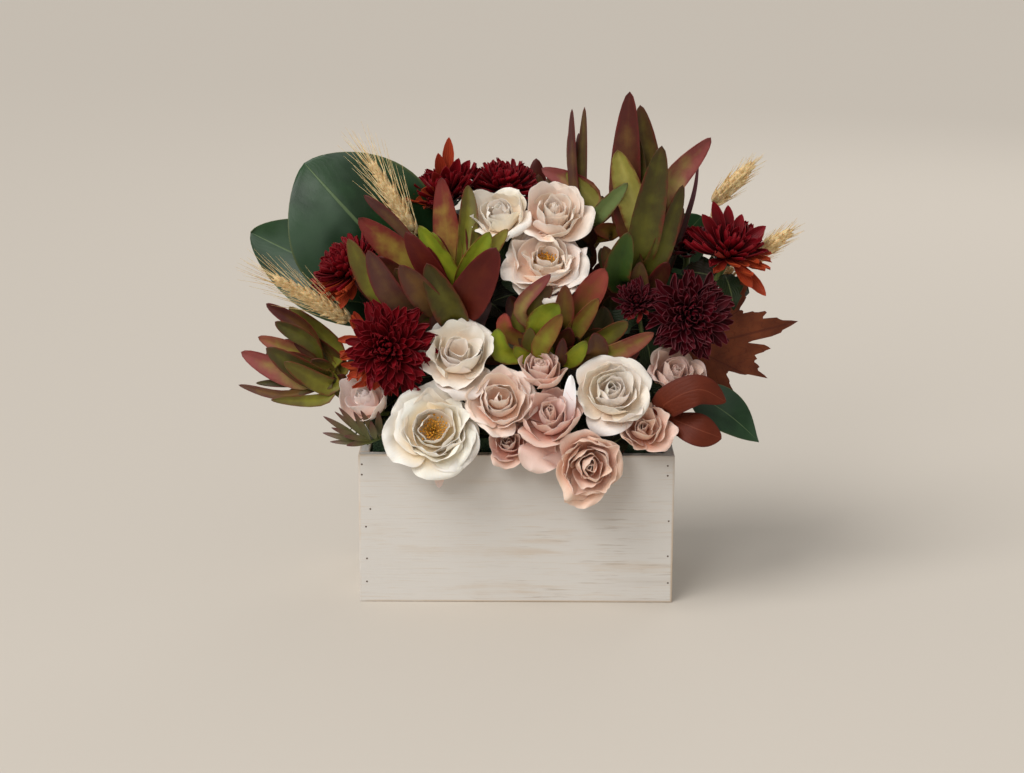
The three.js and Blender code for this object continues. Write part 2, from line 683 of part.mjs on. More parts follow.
function wheatBunch({ foot, ears }, extra = 0) {
  const parts = [stemFoot(foot, wheatFoot, extra)];
  for (const ear of ears) {
    const path = [new THREE.Vector3(...foot, tubeStart), ...ear.via.map(vec), vec(ear.from)];
    parts.push(tube(path, 1.3 + extra, 5));
    parts.push(...wheatEar(ear, extra));
  }
  return join(parts);
}

// The lobed leaf: its outline is extruded thin, bowed, turned and set on its stalk.
function mapleLeaf(extra = 0) {
  const outline = new THREE.Shape();
  const corner = (degrees, share) => {
    const angle = ((degrees + mapleTurn) * Math.PI) / 180;
    return [(share * mapleSize + extra) * Math.cos(angle), (share * mapleSize + extra) * Math.sin(angle)];
  };
  outline.moveTo(...corner(0, 1));
  mapleHalf.forEach(([degrees, share]) => outline.lineTo(...corner(degrees, share)));
  outline.lineTo(...corner(180, 0.04));
  [...mapleHalf].reverse().forEach(([degrees, share]) => outline.lineTo(...corner(-degrees, share)));
  const blade = new THREE.ExtrudeGeometry(outline, { depth: 1 + 2 * extra, bevelEnabled: false });
  blade.translate(0, 0, -0.5 - extra);
  const place = blade.attributes.position;
  for (let index = 0; index < place.count; index += 1) {
    const away = Math.hypot(place.getX(index), place.getY(index)) / mapleSize;
    place.setZ(index, place.getZ(index) + 9 * away * away);
  }
  blade.rotateX(Math.PI / 2).translate(...mapleAt);
  const low = new THREE.Vector3(...mapleFoot, tubeStart);
  const stalk = [low, new THREE.Vector3(130, 6, 178), vec(mapleAt).add(new THREE.Vector3(3, 0, 2))];
  return join([blade, stemFoot(mapleFoot, stalkFoot, extra), tube(stalk, 1.5 + extra, 4)]);
}

function grassBlade(extra = 0) {
  const curve = new THREE.CatmullRomCurve3(grassPath.map(vec), false, 'centripetal');
  const stations = 6;
  const rings = [];
  for (let index = 1; index < stations; index += 1) {
    const place = index / stations;
    const middle = curve.getPoint(place);
    const along = curve.getTangent(place);
    const side = along.clone().cross(new THREE.Vector3(0, -1, 0)).normalize();
    const up = side.clone().cross(along).normalize();
    const half = (grassWidth / 2) * (1 - 0.5 * place) + extra;
    rings.push([
      middle.clone().addScaledVector(side, -half),
      middle.clone().addScaledVector(up, 0.6 + extra),
      middle.clone().addScaledVector(side, half),
      middle.clone().addScaledVector(up, -0.6 - extra),
    ]);
  }
  const root = vec(grassPath[0]).add(new THREE.Vector3(0, 0, 1));
  return join([spindle(root, rings, curve.getPoint(1)), stemFoot(grassPath[0], stalkFoot, extra)]);
}

// A thick slab whose face lies between two neighbouring blooms, on the side of the second.
function slabBetween(own, other) {
  const from = vec(own.at);
  const to = vec(other.at);
  const away = to.clone().sub(from).normalize();
  const meeting = from.clone().lerp(to, own.radius / (own.radius + other.radius));
  const size = 3 * (own.radius + other.radius);
  const slab = new THREE.BoxGeometry(size, size, size).translate(0, 0, size / 2 + gap / 2 + 0.05);
  const turn = new THREE.Quaternion().setFromUnitVectors(new THREE.Vector3(0, 0, 1), away);
  slab.applyQuaternion(turn).translate(...meeting.toArray());
  return toSolid(slab);
}

// ---- the box ----
function board(width, depth, height, x, y, z) {
  return new THREE.BoxGeometry(width, depth, height).translate(x, y, z);
}

function boxBoards() {
  const endDepth = boxDepth - 2 * boardThickness - 2 * gap;
  const floorWidth = boxWidth - 2 * boardThickness - 2 * gap;
  const sideY = (boxDepth - boardThickness) / 2;
  const endX = (boxWidth - boardThickness) / 2;
  const middle = boxHeight / 2;
  return {
    'board-front': board(boxWidth, boardThickness, boxHeight, 0, -sideY, middle),
    'board-back': board(boxWidth, boardThickness, boxHeight, 0, sideY, middle),
    'board-left': board(boardThickness, endDepth, boxHeight, -endX, 0, middle),
    'board-right': board(boardThickness, endDepth, boxHeight, endX, 0, middle),
    'board-bottom': board(floorWidth, endDepth, boardThickness, 0, 0, boardThickness / 2),
  };
}

const linerWidth = boxWidth - 2 * boardThickness - 4 * gap;
const linerDepth = boxDepth - 2 * boardThickness - 4 * gap;
const linerFloor = boardThickness + gap;

function liner() {
  const height = linerTop - linerFloor;
  const outside = board(linerWidth, linerDepth, height, 0, 0, linerFloor + height / 2);
  const inside = board(
    linerWidth - 2 * linerWall, linerDepth - 2 * linerWall, height, 0, 0, linerFloor + linerWall + height / 2,
  );
  return toSolid(outside).subtract(toSolid(inside));
}

function foamBlock(feet) {
  const floor = linerFloor + linerWall + gap;
  const inset = 2 * (linerWall + gap);
  const height = foamTop - floor;
  const block = toSolid(board(linerWidth - inset, linerDepth - inset, height, 0, 0, floor + height / 2));
  return feet.reduce((foam, foot) => foam.subtract(foot), block);
}

// ---- the arrangement, in the order in which later pieces give way to earlier ones ----
const nodes = [];
const feet = [];

// Adds a piece. Its build function makes it at its real size, or enlarged by an extra all round.
// What gives way to it is cut with its room, where it has one, or else with its enlarged shape.
function addNode({ name, build, colour, roughness = 0.6, room }) {
  const enlarged = build(grown);
  nodes.push({ name, solid: build(0), enlarged, cutter: room ?? enlarged, colour, roughness });
}

// Adds a piece that stands in the foam, and the hole that its foot needs.
function addStanding({ name, build, colour, roughness, foot, radius }) {
  addNode({ name, build, colour, roughness });
  feet.push(toSolid(stemFoot(foot, radius, gap)));
}

for (const [name, spray] of Object.entries(sprays)) {
  const radius = name.startsWith('rose') ? roseStemRadius : mumStemRadius;
  const build = (extra) => stemSpray(spray, radius, extra);
  addStanding({ name, build, colour: colours.stem, foot: spray.foot, radius: radius + 1 });
}
for (const [name, rose] of Object.entries(roses)) {
  if (rose.open) {
    addNode({ name: `stamens-${name}`, build: (extra) => stamens(rose, extra), colour: colours.stamen });
  }
  const build = (extra) => roseBloom(rose, extra);
  addNode({ name, build, colour: rose.colour, roughness: 0.7, room: bloomRoom(rose, roseRoom) });
}
for (const [name, mum] of Object.entries(mums)) {
  const build = (extra) => mumHead(mum, extra);
  const colour = mum.dark ? colours.mumDark : colours.mum;
  addNode({ name, build, colour, room: bloomRoom(mum, mumRoom) });
}
for (const [name, head] of Object.entries(heads)) {
  const build = (extra) => leafyHead(head, leafStemRadius, extra);
  addStanding({ name, build, colour: colours.leaf, foot: head.stem[0], radius: leafFoot });
}
addStanding({
  name: 'lobed-leaf', build: mapleLeaf, colour: colours.maple, foot: mapleFoot, radius: stalkFoot,
});
for (const [name, spray] of Object.entries(broadLeaves)) {
  const build = (extra) => broadSpray(spray, extra);
  addStanding({
    name, build, colour: colours.glossy, roughness: 0.3, foot: spray.stem[0], radius: leafFoot,
  });
}
addStanding({
  name: 'copper-leaves', build: (extra) => broadSpray(copperLeaves, extra), colour: colours.copper,
  foot: copperLeaves.stem[0], radius: leafFoot,
});
addStanding({
  name: 'narrow-sprig', build: (extra) => leafyHead(sprig, sprigRadius, extra), colour: colours.sprig,
  foot: sprig.stem[0], radius: sprigRadius + footFlare,
});
for (const [name, bunch] of Object.entries(wheat)) {
  const build = (extra) => wheatBunch(bunch, extra);
  addStanding({ name, build, colour: colours.wheat, roughness: 0.8, foot: bunch.foot, radius: wheatFoot });
}
addStanding({
  name: 'grass-blade', build: grassBlade, colour: colours.blade, foot: grassPath[0], radius: stalkFoot,
});

// Neighbouring blooms press against each other along a flat face.
const blooms = Object.entries({ ...roses, ...mums });
for (const [name, own] of blooms) {
  const node = nodes.find((entry) => entry.name === name);
  for (const [otherName, other] of blooms) {
    const apart = vec(own.at).distanceTo(vec(other.at));
    if (otherName !== name && apart < 1.1 * (own.radius + other.radius)) {
      node.solid = node.solid.subtract(slabBetween(own, other));
    }
  }
}

// Every other piece gives way to those before it, and loses what the cuts leave loose.
nodes.forEach((node, order) => {
  for (const earlier of nodes.slice(0, order)) {
    if (node.solid.intersect(earlier.enlarged).volume() > leastOverlap) {
      const isBloom = node.cutter !== node.enlarged;
      node.solid = node.solid.subtract(isBloom ? earlier.enlarged : earlier.cutter);
    }
  }
  node.solid = largestBody(node.solid);
});

// ---- the scene ----
const centerpiece = new THREE.Group();

function addMesh(name, geometry, colour, roughness) {
  const material = new THREE.MeshStandardMaterial({ color: colour, roughness, metalness: 0 });
  const mesh = new THREE.Mesh(geometry, material);
  mesh.name = name;
  centerpiece.add(mesh);
}

for (const [name, geometry] of Object.entries(boxBoards())) {
  addMesh(name, geometry, colours.paint, 0.8);
}
addMesh('liner-tray', toGeometry(liner()), colours.liner, 0.4);
addMesh('floral-foam', toGeometry(foamBlock(feet)), colours.foam, 0.9);
for (const { name, solid, colour, roughness } of nodes) {
  addMesh(name, toGeometry(solid), colour, roughness);
}

export default centerpiece;
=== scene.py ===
import math
import random

import bpy
from mathutils import Matrix, Vector, noise


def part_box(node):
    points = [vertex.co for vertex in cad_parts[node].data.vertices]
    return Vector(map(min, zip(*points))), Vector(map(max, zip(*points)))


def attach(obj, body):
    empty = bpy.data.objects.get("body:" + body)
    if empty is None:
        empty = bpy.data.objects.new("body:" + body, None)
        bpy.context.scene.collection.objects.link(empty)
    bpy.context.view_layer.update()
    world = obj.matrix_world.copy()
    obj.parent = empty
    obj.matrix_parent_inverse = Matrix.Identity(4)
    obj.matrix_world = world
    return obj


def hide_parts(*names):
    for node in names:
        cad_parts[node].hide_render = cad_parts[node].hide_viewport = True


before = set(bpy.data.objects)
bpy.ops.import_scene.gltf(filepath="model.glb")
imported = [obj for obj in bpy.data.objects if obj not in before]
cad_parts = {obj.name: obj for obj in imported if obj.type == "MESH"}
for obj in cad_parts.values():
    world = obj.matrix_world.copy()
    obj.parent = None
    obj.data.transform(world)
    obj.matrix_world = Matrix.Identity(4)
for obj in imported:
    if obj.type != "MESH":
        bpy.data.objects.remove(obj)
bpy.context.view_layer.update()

mm = 0.001
weldGap = 0.00002  # points nearer than this become one
goldenTurn = math.radians(137.508)  # from each petal to the next, round the middle of a bloom
upward = Vector((0, 0, 1))


# The photo's camera.
photoView = {
    "width": 1024,  # of the picture, in pixels
    "height": 773,
    "focal": 2300,  # in the same pixels
    "place": (-3.98, -1883.2, 628.9),
    "down": 13.7126,  # degrees below level
    "roll": 0.2486,
}
photoTurn = (Matrix.Rotation(math.radians(90 - photoView["down"]), 3, "X")
             @ Matrix.Rotation(math.radians(photoView["roll"]), 3, "Z"))


def seen(across, down, depth):
    # The place, in mm, that shows at a pixel of the photo and lies at the given depth (its y).
    ray = photoTurn @ Vector(((across - photoView["width"] / 2) / photoView["focal"],
                              (photoView["height"] / 2 - down) / photoView["focal"], -1))
    start = Vector(photoView["place"])
    return start + ray * ((depth - start.y) / ray.y)


# Helpers for places, copies and finished pieces.
def mix(start, end, share):
    return start + (end - start) * share


def smooth(share):
    share = min(max(share, 0), 1)
    return share * share * (3 - 2 * share)


def colour(red, green, blue):  # from 0..255 as on a screen to the shader's own values
    return tuple((c / 12.92 if c <= 0.04045 else ((c + 0.055) / 1.055) ** 2.4)
                 for c in (red / 255, green / 255, blue / 255))


def point(place):  # a place in millimetres
    return Vector(place) * mm


def aimed(place, along, spin=0):
    # Puts a shape at a place with its own +Z along a direction.
    aim = upward.rotation_difference(along).to_matrix().to_4x4()
    return Matrix.Translation(place) @ aim @ Matrix.Rotation(spin, 4, "Z")


def bloomPlace(bloom):  # a bloom is drawn with radius 1
    stand = aimed(point(bloom["at"]), Vector(bloom["face"]).normalized())
    return stand @ Matrix.Scale(bloom["radius"] * mm, 4)


def makeActive(piece):
    bpy.ops.object.select_all(action="DESELECT")
    piece.select_set(True)
    bpy.context.view_layer.objects.active = piece


def added(primitive, **settings):
    # A new primitive that is the only thing selected.
    bpy.ops.object.select_all(action="DESELECT")
    primitive(**settings)
    return bpy.context.object


def paint(piece, tones):
    for layerName, tone in tones.items():
        layer = piece.data.color_attributes.new(layerName, "FLOAT_COLOR", "POINT")
        layer.data.foreach_set("color", [*tone, 1] * len(piece.data.vertices))


def flatPattern(columns, rows, rimWeight=0.3):
    # A flat square of quads from -1 to 1; its rim is lighter, so that Solidify leaves a thin edge.
    pattern = added(bpy.ops.mesh.primitive_grid_add, x_subdivisions=columns, y_subdivisions=rows, size=2)
    body = pattern.vertex_groups.new(name="body")
    for vertex in pattern.data.vertices:
        onRim = max(abs(vertex.co.x), abs(vertex.co.y)) > 0.999
        body.add([vertex.index], rimWeight if onRim else 1, "REPLACE")
    return pattern


def copyOf(pattern, transform=None):
    piece = pattern.copy()
    piece.data = pattern.data.copy()
    bpy.context.collection.objects.link(piece)
    if transform is not None:
        piece.data.transform(transform)
    return piece


def shaped(pattern, form, tones=None):
    # A copy of the pattern with each of its points moved to form(x, y), and its tones painted on.
    piece = copyOf(pattern)
    for vertex in piece.data.vertices:
        vertex.co = form(vertex.co.x, vertex.co.y)
    paint(piece, tones or {})
    return piece


def joined(pieces, name):
    makeActive(pieces[0])
    for piece in pieces:
        piece.select_set(True)
    if len(pieces) > 1:
        bpy.ops.object.join()
    whole = bpy.context.view_layer.objects.active
    whole.name = name
    whole.data.name = name
    return whole


def mergeDoubles(piece):
    makeActive(piece)
    bpy.ops.object.mode_set(mode="EDIT")
    bpy.ops.mesh.select_all(action="SELECT")
    bpy.ops.mesh.remove_doubles(threshold=weldGap)
    bpy.ops.object.mode_set(mode="OBJECT")


def thicken(piece, thickness, rimShare=0.3):
    makeActive(piece)
    wall = piece.modifiers.new("wall", "SOLIDIFY")
    wall.thickness = thickness
    wall.offset = 0
    wall.vertex_group = "body"
    wall.thickness_vertex_group = rimShare
    bpy.ops.object.modifier_apply(modifier=wall.name)


def softShade(piece, angle=70):
    makeActive(piece)
    bpy.ops.object.shade_smooth_by_angle(angle=math.radians(angle))


def tube(points, radii, sides=6):
    # A round stem through the points, with its own radius at each.
    curve = bpy.data.curves.new("stem", "CURVE")
    curve.dimensions = "3D"
    curve.resolution_u = 4
    curve.bevel_depth = 1
    curve.bevel_resolution = max(sides // 2 - 2, 0)
    curve.use_fill_caps = True
    spline = curve.splines.new("NURBS")
    spline.points.add(len(points) - 1)
    for knot, place, radius in zip(spline.points, points, radii):
        knot.co = (*place, 1)
        knot.radius = radius
    spline.order_u = min(4, len(points))
    spline.use_endpoint_u = True
    piece = bpy.data.objects.new("stem", curve)
    bpy.context.collection.objects.link(piece)
    makeActive(piece)
    bpy.ops.object.convert(target="MESH")
    return bpy.context.object


def settle(piece, finish, slotName, *nodes):
    # Gives a finished piece its material and hides the CAD nodes that it stands for; its slot name is not
    # used.
    if finish:
        piece.data.materials.append(finish)
    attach(piece, "root")
    if nodes:
        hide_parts(*nodes)


def sprayOf(name, leaves, leafFinish, thickness, stems, stemFinish, slotName, nodeName=None, rimShare=0.3):
    # Leaves of one thickness and the stems that carry them become one piece.
    foliage = joined(leaves, name + "-leaves")
    mergeDoubles(foliage)
    thicken(foliage, thickness, rimShare)
    foliage.data.materials.append(leafFinish)
    wood = joined(stems, name + "-stems")
    wood.data.materials.append(stemFinish)
    whole = joined([foliage, wood], name + "-fine")
    softShade(whole)
    settle(whole, None, slotName, nodeName or name)


# Helpers that wire up materials.
class NodeBench:
    # Adds nodes to one tree and wires them; values may be numbers, colours or other sockets.
    def __init__(self, tree):
        self.tree = tree

    def put(self, socket, value):
        if isinstance(value, bpy.types.NodeSocket):
            self.tree.links.new(value, socket)
        elif isinstance(value, tuple) and len(value) == 3 and socket.type == "RGBA":
            socket.default_value = (*value, 1)
        else:
            socket.default_value = value

    def add(self, kind, inputs=None, **settings):
        node = self.tree.nodes.new(kind)
        for key, value in settings.items():
            setattr(node, key, value)
        for key, value in (inputs or {}).items():
            self.put(node.inputs[key], value)
        return node

    def math(self, operation, first, second=0.0):
        return self.add("ShaderNodeMath", {0: first, 1: second}, operation=operation).outputs[0]

    def times(self, first, second):
        return self.math("MULTIPLY", first, second)

    def plus(self, first, second):
        return self.math("ADD", first, second)

    def minus(self, first, second):
        return self.math("SUBTRACT", first, second)

    def between(self, value, low, high):  # 0 below low, 1 above high, smooth in between
        return self.add("ShaderNodeMapRange", {0: value, 1: low, 2: high, 3: 0.0, 4: 1.0},
                        interpolation_type="SMOOTHSTEP").outputs[0]

    def blend(self, share, first, second, mode="MIX"):
        return self.add("ShaderNodeMix", {0: share, 6: first, 7: second},
                        data_type="RGBA", blend_type=mode).outputs[2]

    def layer(self, base, mask, amount, tint):  # the tint over the base, where the mask shows it
        return self.blend(self.times(mask, amount), base, tint)

    def noise(self, vector, scale, detail=3.0, rough=0.55, stretch=None):
        if stretch:
            vector = self.add("ShaderNodeMapping", {"Vector": vector, "Scale": stretch}).outputs[0]
        return self.add("ShaderNodeTexNoise",
                        {"Vector": vector, "Scale": scale, "Detail": detail, "Roughness": rough}).outputs[0]

    def objectPlace(self):
        return self.add("ShaderNodeTexCoord").outputs["Object"]

    def acrossAlong(self):  # the UV map of a sheet: across and along it, from 0 to 1
        parts = self.add("ShaderNodeSeparateXYZ", {0: self.add("ShaderNodeUVMap", uv_map="UVMap").outputs[0]})
        return parts.outputs[0], parts.outputs[1]

    def tone(self, name, output="Color"):
        return self.add("ShaderNodeAttribute", attribute_name=name, attribute_type="GEOMETRY").outputs[output]

    def mottle(self, tint, scale, amount):
        return self.add("ShaderNodeGroup", {"Colour": tint, "Scale": scale, "Amount": amount},
                        node_tree=mottleGroup).outputs

    def sheet(self, ribCount, ribSlant):
        return self.add("ShaderNodeGroup", {"Rib Count": ribCount, "Rib Slant": ribSlant},
                        node_tree=sheetGroup).outputs


class Finish(NodeBench):
    # A material; glow is the weight and scale of the light that shines through.
    def __init__(self, name, rough, gloss=0.5, glow=(0.0, 0.05), more=None):
        self.material = bpy.data.materials.new(name)
        self.material.use_nodes = True
        super().__init__(self.material.node_tree)
        self.shader = self.tree.nodes["Principled BSDF"].inputs
        for key, value in {"Roughness": rough, "Specular IOR Level": gloss, "Subsurface Weight": glow[0],
                           "Subsurface Scale": glow[1], **(more or {})}.items():
            self.shader[key].default_value = value

    def done(self, shade, height=None, strength=0.0, distance=0.001, rough=None):
        self.put(self.shader["Base Color"], shade)
        if height is not None:
            bump = self.add("ShaderNodeBump", {"Height": height, "Strength": strength, "Distance": distance})
            self.put(self.shader["Normal"], bump.outputs[0])
        if rough is not None:
            self.put(self.shader["Roughness"], rough)
        return self.material


def newGroup(name, inputs, outputs):
    group = bpy.data.node_groups.new(name, "ShaderNodeTree")
    for way, sockets in (("INPUT", inputs), ("OUTPUT", outputs)):
        for label, kind in sockets.items():
            group.interface.new_socket(name=label, in_out=way, socket_type="NodeSocket" + kind)
    bench = NodeBench(group)
    return group, bench, bench.add("NodeGroupInput").outputs, bench.add("NodeGroupOutput").inputs


def buildMottleGroup():
    # Soft patches of lighter and darker colour, on Object coordinates.
    group, bench, given, result = newGroup(
        "mottle", {"Colour": "Color", "Scale": "Float", "Amount": "Float"},
        {"Colour": "Color", "Patch": "Float"})
    patch = bench.noise(bench.objectPlace(), given["Scale"], 4.0)
    factor = bench.plus(bench.times(bench.minus(patch, 0.5), given["Amount"]), 1.0)
    scaled = bench.add("ShaderNodeVectorMath", {0: given["Colour"], "Scale": factor}, operation="SCALE")
    bench.put(result["Colour"], scaled.outputs[0])
    bench.put(result["Patch"], patch)
    return group


def buildSheetGroup():
    # Where a point lies on a petal or leaf: its distance from the midrib and rim, and fine ribs.
    group, bench, given, result = newGroup(
        "sheet", {"Rib Count": "Float", "Rib Slant": "Float"},
        {"Side": "Float", "Along": "Float", "Rim": "Float", "Ribs": "Float"})
    across, along = bench.acrossAlong()
    side = bench.math("ABSOLUTE", bench.minus(bench.times(across, 2.0), 1.0))
    rim = bench.math("MAXIMUM", side, bench.times(along, 0.98))
    wander = bench.noise(bench.objectPlace(), 180.0, 2.0)
    slanted = bench.minus(bench.times(side, given["Rib Count"]), bench.times(along, given["Rib Slant"]))
    phase = bench.plus(slanted, bench.times(wander, 1.5))
    ribs = bench.math("ABSOLUTE", bench.math("SINE", bench.times(phase, math.pi)))
    for label, value in (("Side", side), ("Along", along), ("Rim", rim), ("Ribs", ribs)):
        bench.put(result[label], value)
    return group


mottleGroup = buildMottleGroup()
sheetGroup = buildSheetGroup()


# The whitewashed box.
boxLook = {
    "paint": colour(212, 208, 202),
    "bareWood": colour(198, 178, 154),
    "stain": colour(150, 128, 106),
    "inset": 2.2 * mm,  # of the faces, so that the wear stays near the edges
    "bevel": 0.9 * mm,
    "worn": 1.3 * mm,
    "nail": colour(96, 80, 66),
    "nailRadius": 0.8 * mm,
    "nailLength": 1.2 * mm,
    "nailSunk": 0.45 * mm,
    "nailRound": 0.15 * mm,
}
frontBrads = (  # pixels of the photo, at the left end and at the right end
    (361.8, 464.3), (361.8, 474.6), (370.3, 509), (366, 526.7), (367, 558.4), (367, 581.4),
    (667.8, 465.9), (667.8, 475.8), (668.7, 521.2), (667.8, 556.3), (667.8, 583))


def woodMaterial(name, alongX):
    bench = Finish(name, 0.62, 0.3)
    place = bench.objectPlace()

    def streaky(scale, detail, rough, slow, fast):  # noise that is drawn out along the board
        return bench.noise(place, scale, detail, rough, (slow, fast, fast) if alongX else (fast, slow, fast))

    grain = streaky(4.0, 6.0, 0.6, 2.0, 26.0)
    fibre = streaky(5.0, 4.0, 0.6, 6.0, 190.0)
    streak = streaky(2.2, 4.0, 0.5, 2.0, 26.0)
    dash = streaky(4.0, 4.0, 0.6, 5.0, 110.0)
    cloud = bench.noise(place, 9.0, 4.0, 0.6)
    thin = bench.times(bench.between(grain, 0.54, 0.72), bench.between(cloud, 0.35, 0.65))
    base = bench.layer(boxLook["paint"], thin, 0.5, boxLook["bareWood"])
    base = bench.layer(base, bench.between(fibre, 0.54, 0.72), 0.34, boxLook["bareWood"])
    dashes = bench.times(bench.between(dash, 0.56, 0.68), bench.between(cloud, 0.46, 0.62))
    base = bench.layer(base, dashes, 0.34, boxLook["stain"])
    base = bench.layer(base, bench.between(streak, 0.62, 0.78), 0.2, boxLook["stain"])
    wear = bench.times(bench.tone("edgeWear", "Fac"), bench.between(cloud, 0.3, 0.6))
    base = bench.layer(base, wear, 0.85, boxLook["bareWood"])
    height = bench.plus(bench.times(fibre, 0.6), bench.times(grain, 0.5))
    return bench.done(base, height, 0.35, 0.0006, bench.plus(bench.times(fibre, 0.2), 0.52))


def board(nodeName, finish):
    # A planed board with rounded, rubbed edges.
    low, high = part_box(nodeName)
    piece = added(bpy.ops.mesh.primitive_cube_add, size=1, location=(low + high) / 2)
    piece.name = nodeName + "-planed"
    piece.scale = high - low
    bpy.ops.object.transform_apply()
    bpy.ops.object.mode_set(mode="EDIT")
    bpy.ops.mesh.select_all(action="SELECT")
    bpy.ops.mesh.inset(thickness=boxLook["inset"], use_individual=True)
    bpy.ops.mesh.select_all(action="DESELECT")
    bpy.ops.object.mode_set(mode="OBJECT")
    for edge in piece.data.edges:
        ends = [piece.data.vertices[index].co for index in edge.vertices]
        edge.select = all(sum(min(abs(end[axis] - corner[axis]) for corner in (low, high)) < 1e-5
                              for axis in range(3)) >= 2 for end in ends)
    bpy.ops.object.mode_set(mode="EDIT")
    bpy.ops.mesh.select_mode(type="EDGE")
    bpy.ops.mesh.bevel(offset=boxLook["bevel"], segments=3, affect="EDGES", clamp_overlap=True)
    bpy.ops.object.mode_set(mode="OBJECT")
    wear = piece.data.attributes.new("edgeWear", "FLOAT", "POINT")
    for vertex in piece.data.vertices:
        depth = sorted(min(vertex.co[axis] - low[axis], high[axis] - vertex.co[axis]) for axis in range(3))
        wear.data[vertex.index].value = 1 if depth[1] < boxLook["worn"] else 0
    softShade(piece, 50)
    settle(piece, finish, "whitewashed_wood", nodeName)


def brads():
    # Small nail heads that hold the front and back boards to the ends.
    frontY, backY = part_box("board-front")[0].y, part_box("board-back")[1].y
    heads = []
    for across, down in frontBrads:
        place = seen(across, down, frontY / mm) * mm
        for x, y in ((place.x, frontY + boxLook["nailSunk"]), (-place.x, backY - boxLook["nailSunk"])):
            head = added(bpy.ops.mesh.primitive_cylinder_add, vertices=12, radius=boxLook["nailRadius"],
                         depth=boxLook["nailLength"], location=(x, y, place.z),
                         rotation=(math.radians(90), 0, 0))
            bevel = head.modifiers.new("round", "BEVEL")
            bevel.width = boxLook["nailRound"]
            bevel.segments = 1
            bpy.ops.object.transform_apply()
            bpy.ops.object.modifier_apply(modifier=bevel.name)
            heads.append(head)
    whole = joined(heads, "brad-heads")
    softShade(whole, 40)
    bench = Finish("brad steel", 0.5, more={"Metallic": 0.6})
    settle(whole, bench.done(bench.mottle(boxLook["nail"], 900.0, 0.8)["Colour"]), "whitewashed_wood")


lengthwise = woodMaterial("whitewashed wood lengthwise", True)
crosswise = woodMaterial("whitewashed wood crosswise", False)
for nodeName in ("board-front", "board-back", "board-bottom"):
    board(nodeName, lengthwise)
for nodeName in ("board-left", "board-right"):
    board(nodeName, crosswise)
brads()
print("box done")


# The liner tray and the foam.
innerLook = {"liner": colour(34, 34, 33), "foam": colour(40, 66, 42), "foamPits": colour(26, 44, 28)}


def dressNode(nodeName, material):
    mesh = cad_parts[nodeName].data
    mesh.materials.clear()
    mesh.materials.append(material)


def linerMaterial():
    bench = Finish("black liner", 0.35, more={"Coat Weight": 0.2})
    shade = bench.mottle(innerLook["liner"], 60.0, 0.5)
    return bench.done(shade["Colour"], shade["Patch"], 0.15)


def foamMaterial():
    bench = Finish("wet foam", 0.85)
    place = bench.objectPlace()
    cells = bench.add("ShaderNodeTexVoronoi", {"Vector": place, "Scale": 900.0}).outputs[0]
    grains = bench.noise(place, 420.0, 3.0)
    shade = bench.mottle(innerLook["foam"], 40.0, 0.6)["Colour"]
    shade = bench.blend(bench.between(grains, 0.45, 0.7), shade, innerLook["foamPits"])
    return bench.done(shade, bench.plus(cells, bench.times(grains, 1.5)), 0.8)


dressNode("liner-tray", linerMaterial())
dressNode("floral-foam", foamMaterial())


# The form of leaves and of single petals.
plainLeaf = {  # what a leaf has unless it says otherwise
    "via": (),  # places between root and tip
    "peak": 0.55,  # where it is widest, as a share of its length
    "blunt": 0.7,  # lower values make its ends rounder
    "bow": 0.08,  # how far its middle is lifted, as a share of its length
    "fold": 0.22,  # how far its edges are lifted, as a share of half its width
    "hook": 0.0,  # how far its tip is lifted
    "ripple": 0.0,  # height of the waves along its edges, as a share of half its width
    "waves": 3.0,
    "phase": 0.0,
    "stalk": 0.16,  # its least width near the root, as a share of its width
    "teeth": 0,  # along one edge
    "bite": 0.1,  # how deep they are cut
    "twist": 0.0,  # in radians from root to tip
}


def pathPoint(path, share):
    # A soft line through places in mm, and its direction there.
    spot = share * (len(path) - 1)
    index = min(int(spot), len(path) - 2)
    local = spot - index
    b, c = point(path[index]), point(path[index + 1])
    a = point(path[index - 1]) if index > 0 else 2 * b - c
    d = point(path[index + 2]) if index + 2 < len(path) else 2 * c - b
    first, second, third = c - a, 2 * a - 5 * b + 4 * c - d, 3 * b - a - 3 * c + d
    place = 0.5 * (2 * b + first * local + second * local ** 2 + third * local ** 3)
    return place, (first + 2 * second * local + 3 * third * local ** 2).normalized()


def leafOutline(share, peak, blunt):
    # Half the width of a leaf along its length, as a share of the widest half.
    bend = math.log(0.5) / math.log(peak)
    return math.sin(math.pi * min(max(share, 0), 1) ** bend) ** blunt


def leafForm(leaf):
    # A leaf from root to tip, with its upper face towards leaf["face"].
    leaf = {**plainLeaf, **leaf}
    path = [leaf["root"], *leaf["via"], leaf["tip"]]
    length = (point(leaf["tip"]) - point(leaf["root"])).length
    half = leaf["width"] * mm / 2
    teeth = leaf["teeth"]

    def form(x, y):
        share = (y + 1) / 2
        if not teeth:  # its rows lie closer together at the ends
            share = mix(share, 0.5 + 0.5 * math.sin(math.pi / 2 * y), 0.8)
        place, along = pathPoint(path, share)
        side = along.cross(Vector(leaf["face"])).normalized()
        up = side.cross(along).normalized()
        wide = max(leafOutline(share, leaf["peak"], leaf["blunt"]), leaf["stalk"] * (1 - share))
        if teeth:
            wide *= (1 + leaf["bite"] * (0.5 - share * teeth % 1)
                     * smooth(share / 0.1) * smooth((1 - share) / 0.1))
        turn = leaf["twist"] * (share - 0.2)
        across = x * half * wide
        wave = math.sin(leaf["waves"] * math.pi * share + leaf["phase"] + (1.3 if x > 0 else 0))
        lift = (leaf["bow"] * length * math.sin(math.pi * share) + leaf["fold"] * abs(x) ** 1.4 * half * wide
                + leaf["hook"] * length * max(0, share - 0.55) ** 2
                + leaf["ripple"] * half * wave * abs(x) ** 1.5)
        return place + side * (across * math.cos(turn)) + up * (lift + across * math.sin(turn))

    return form


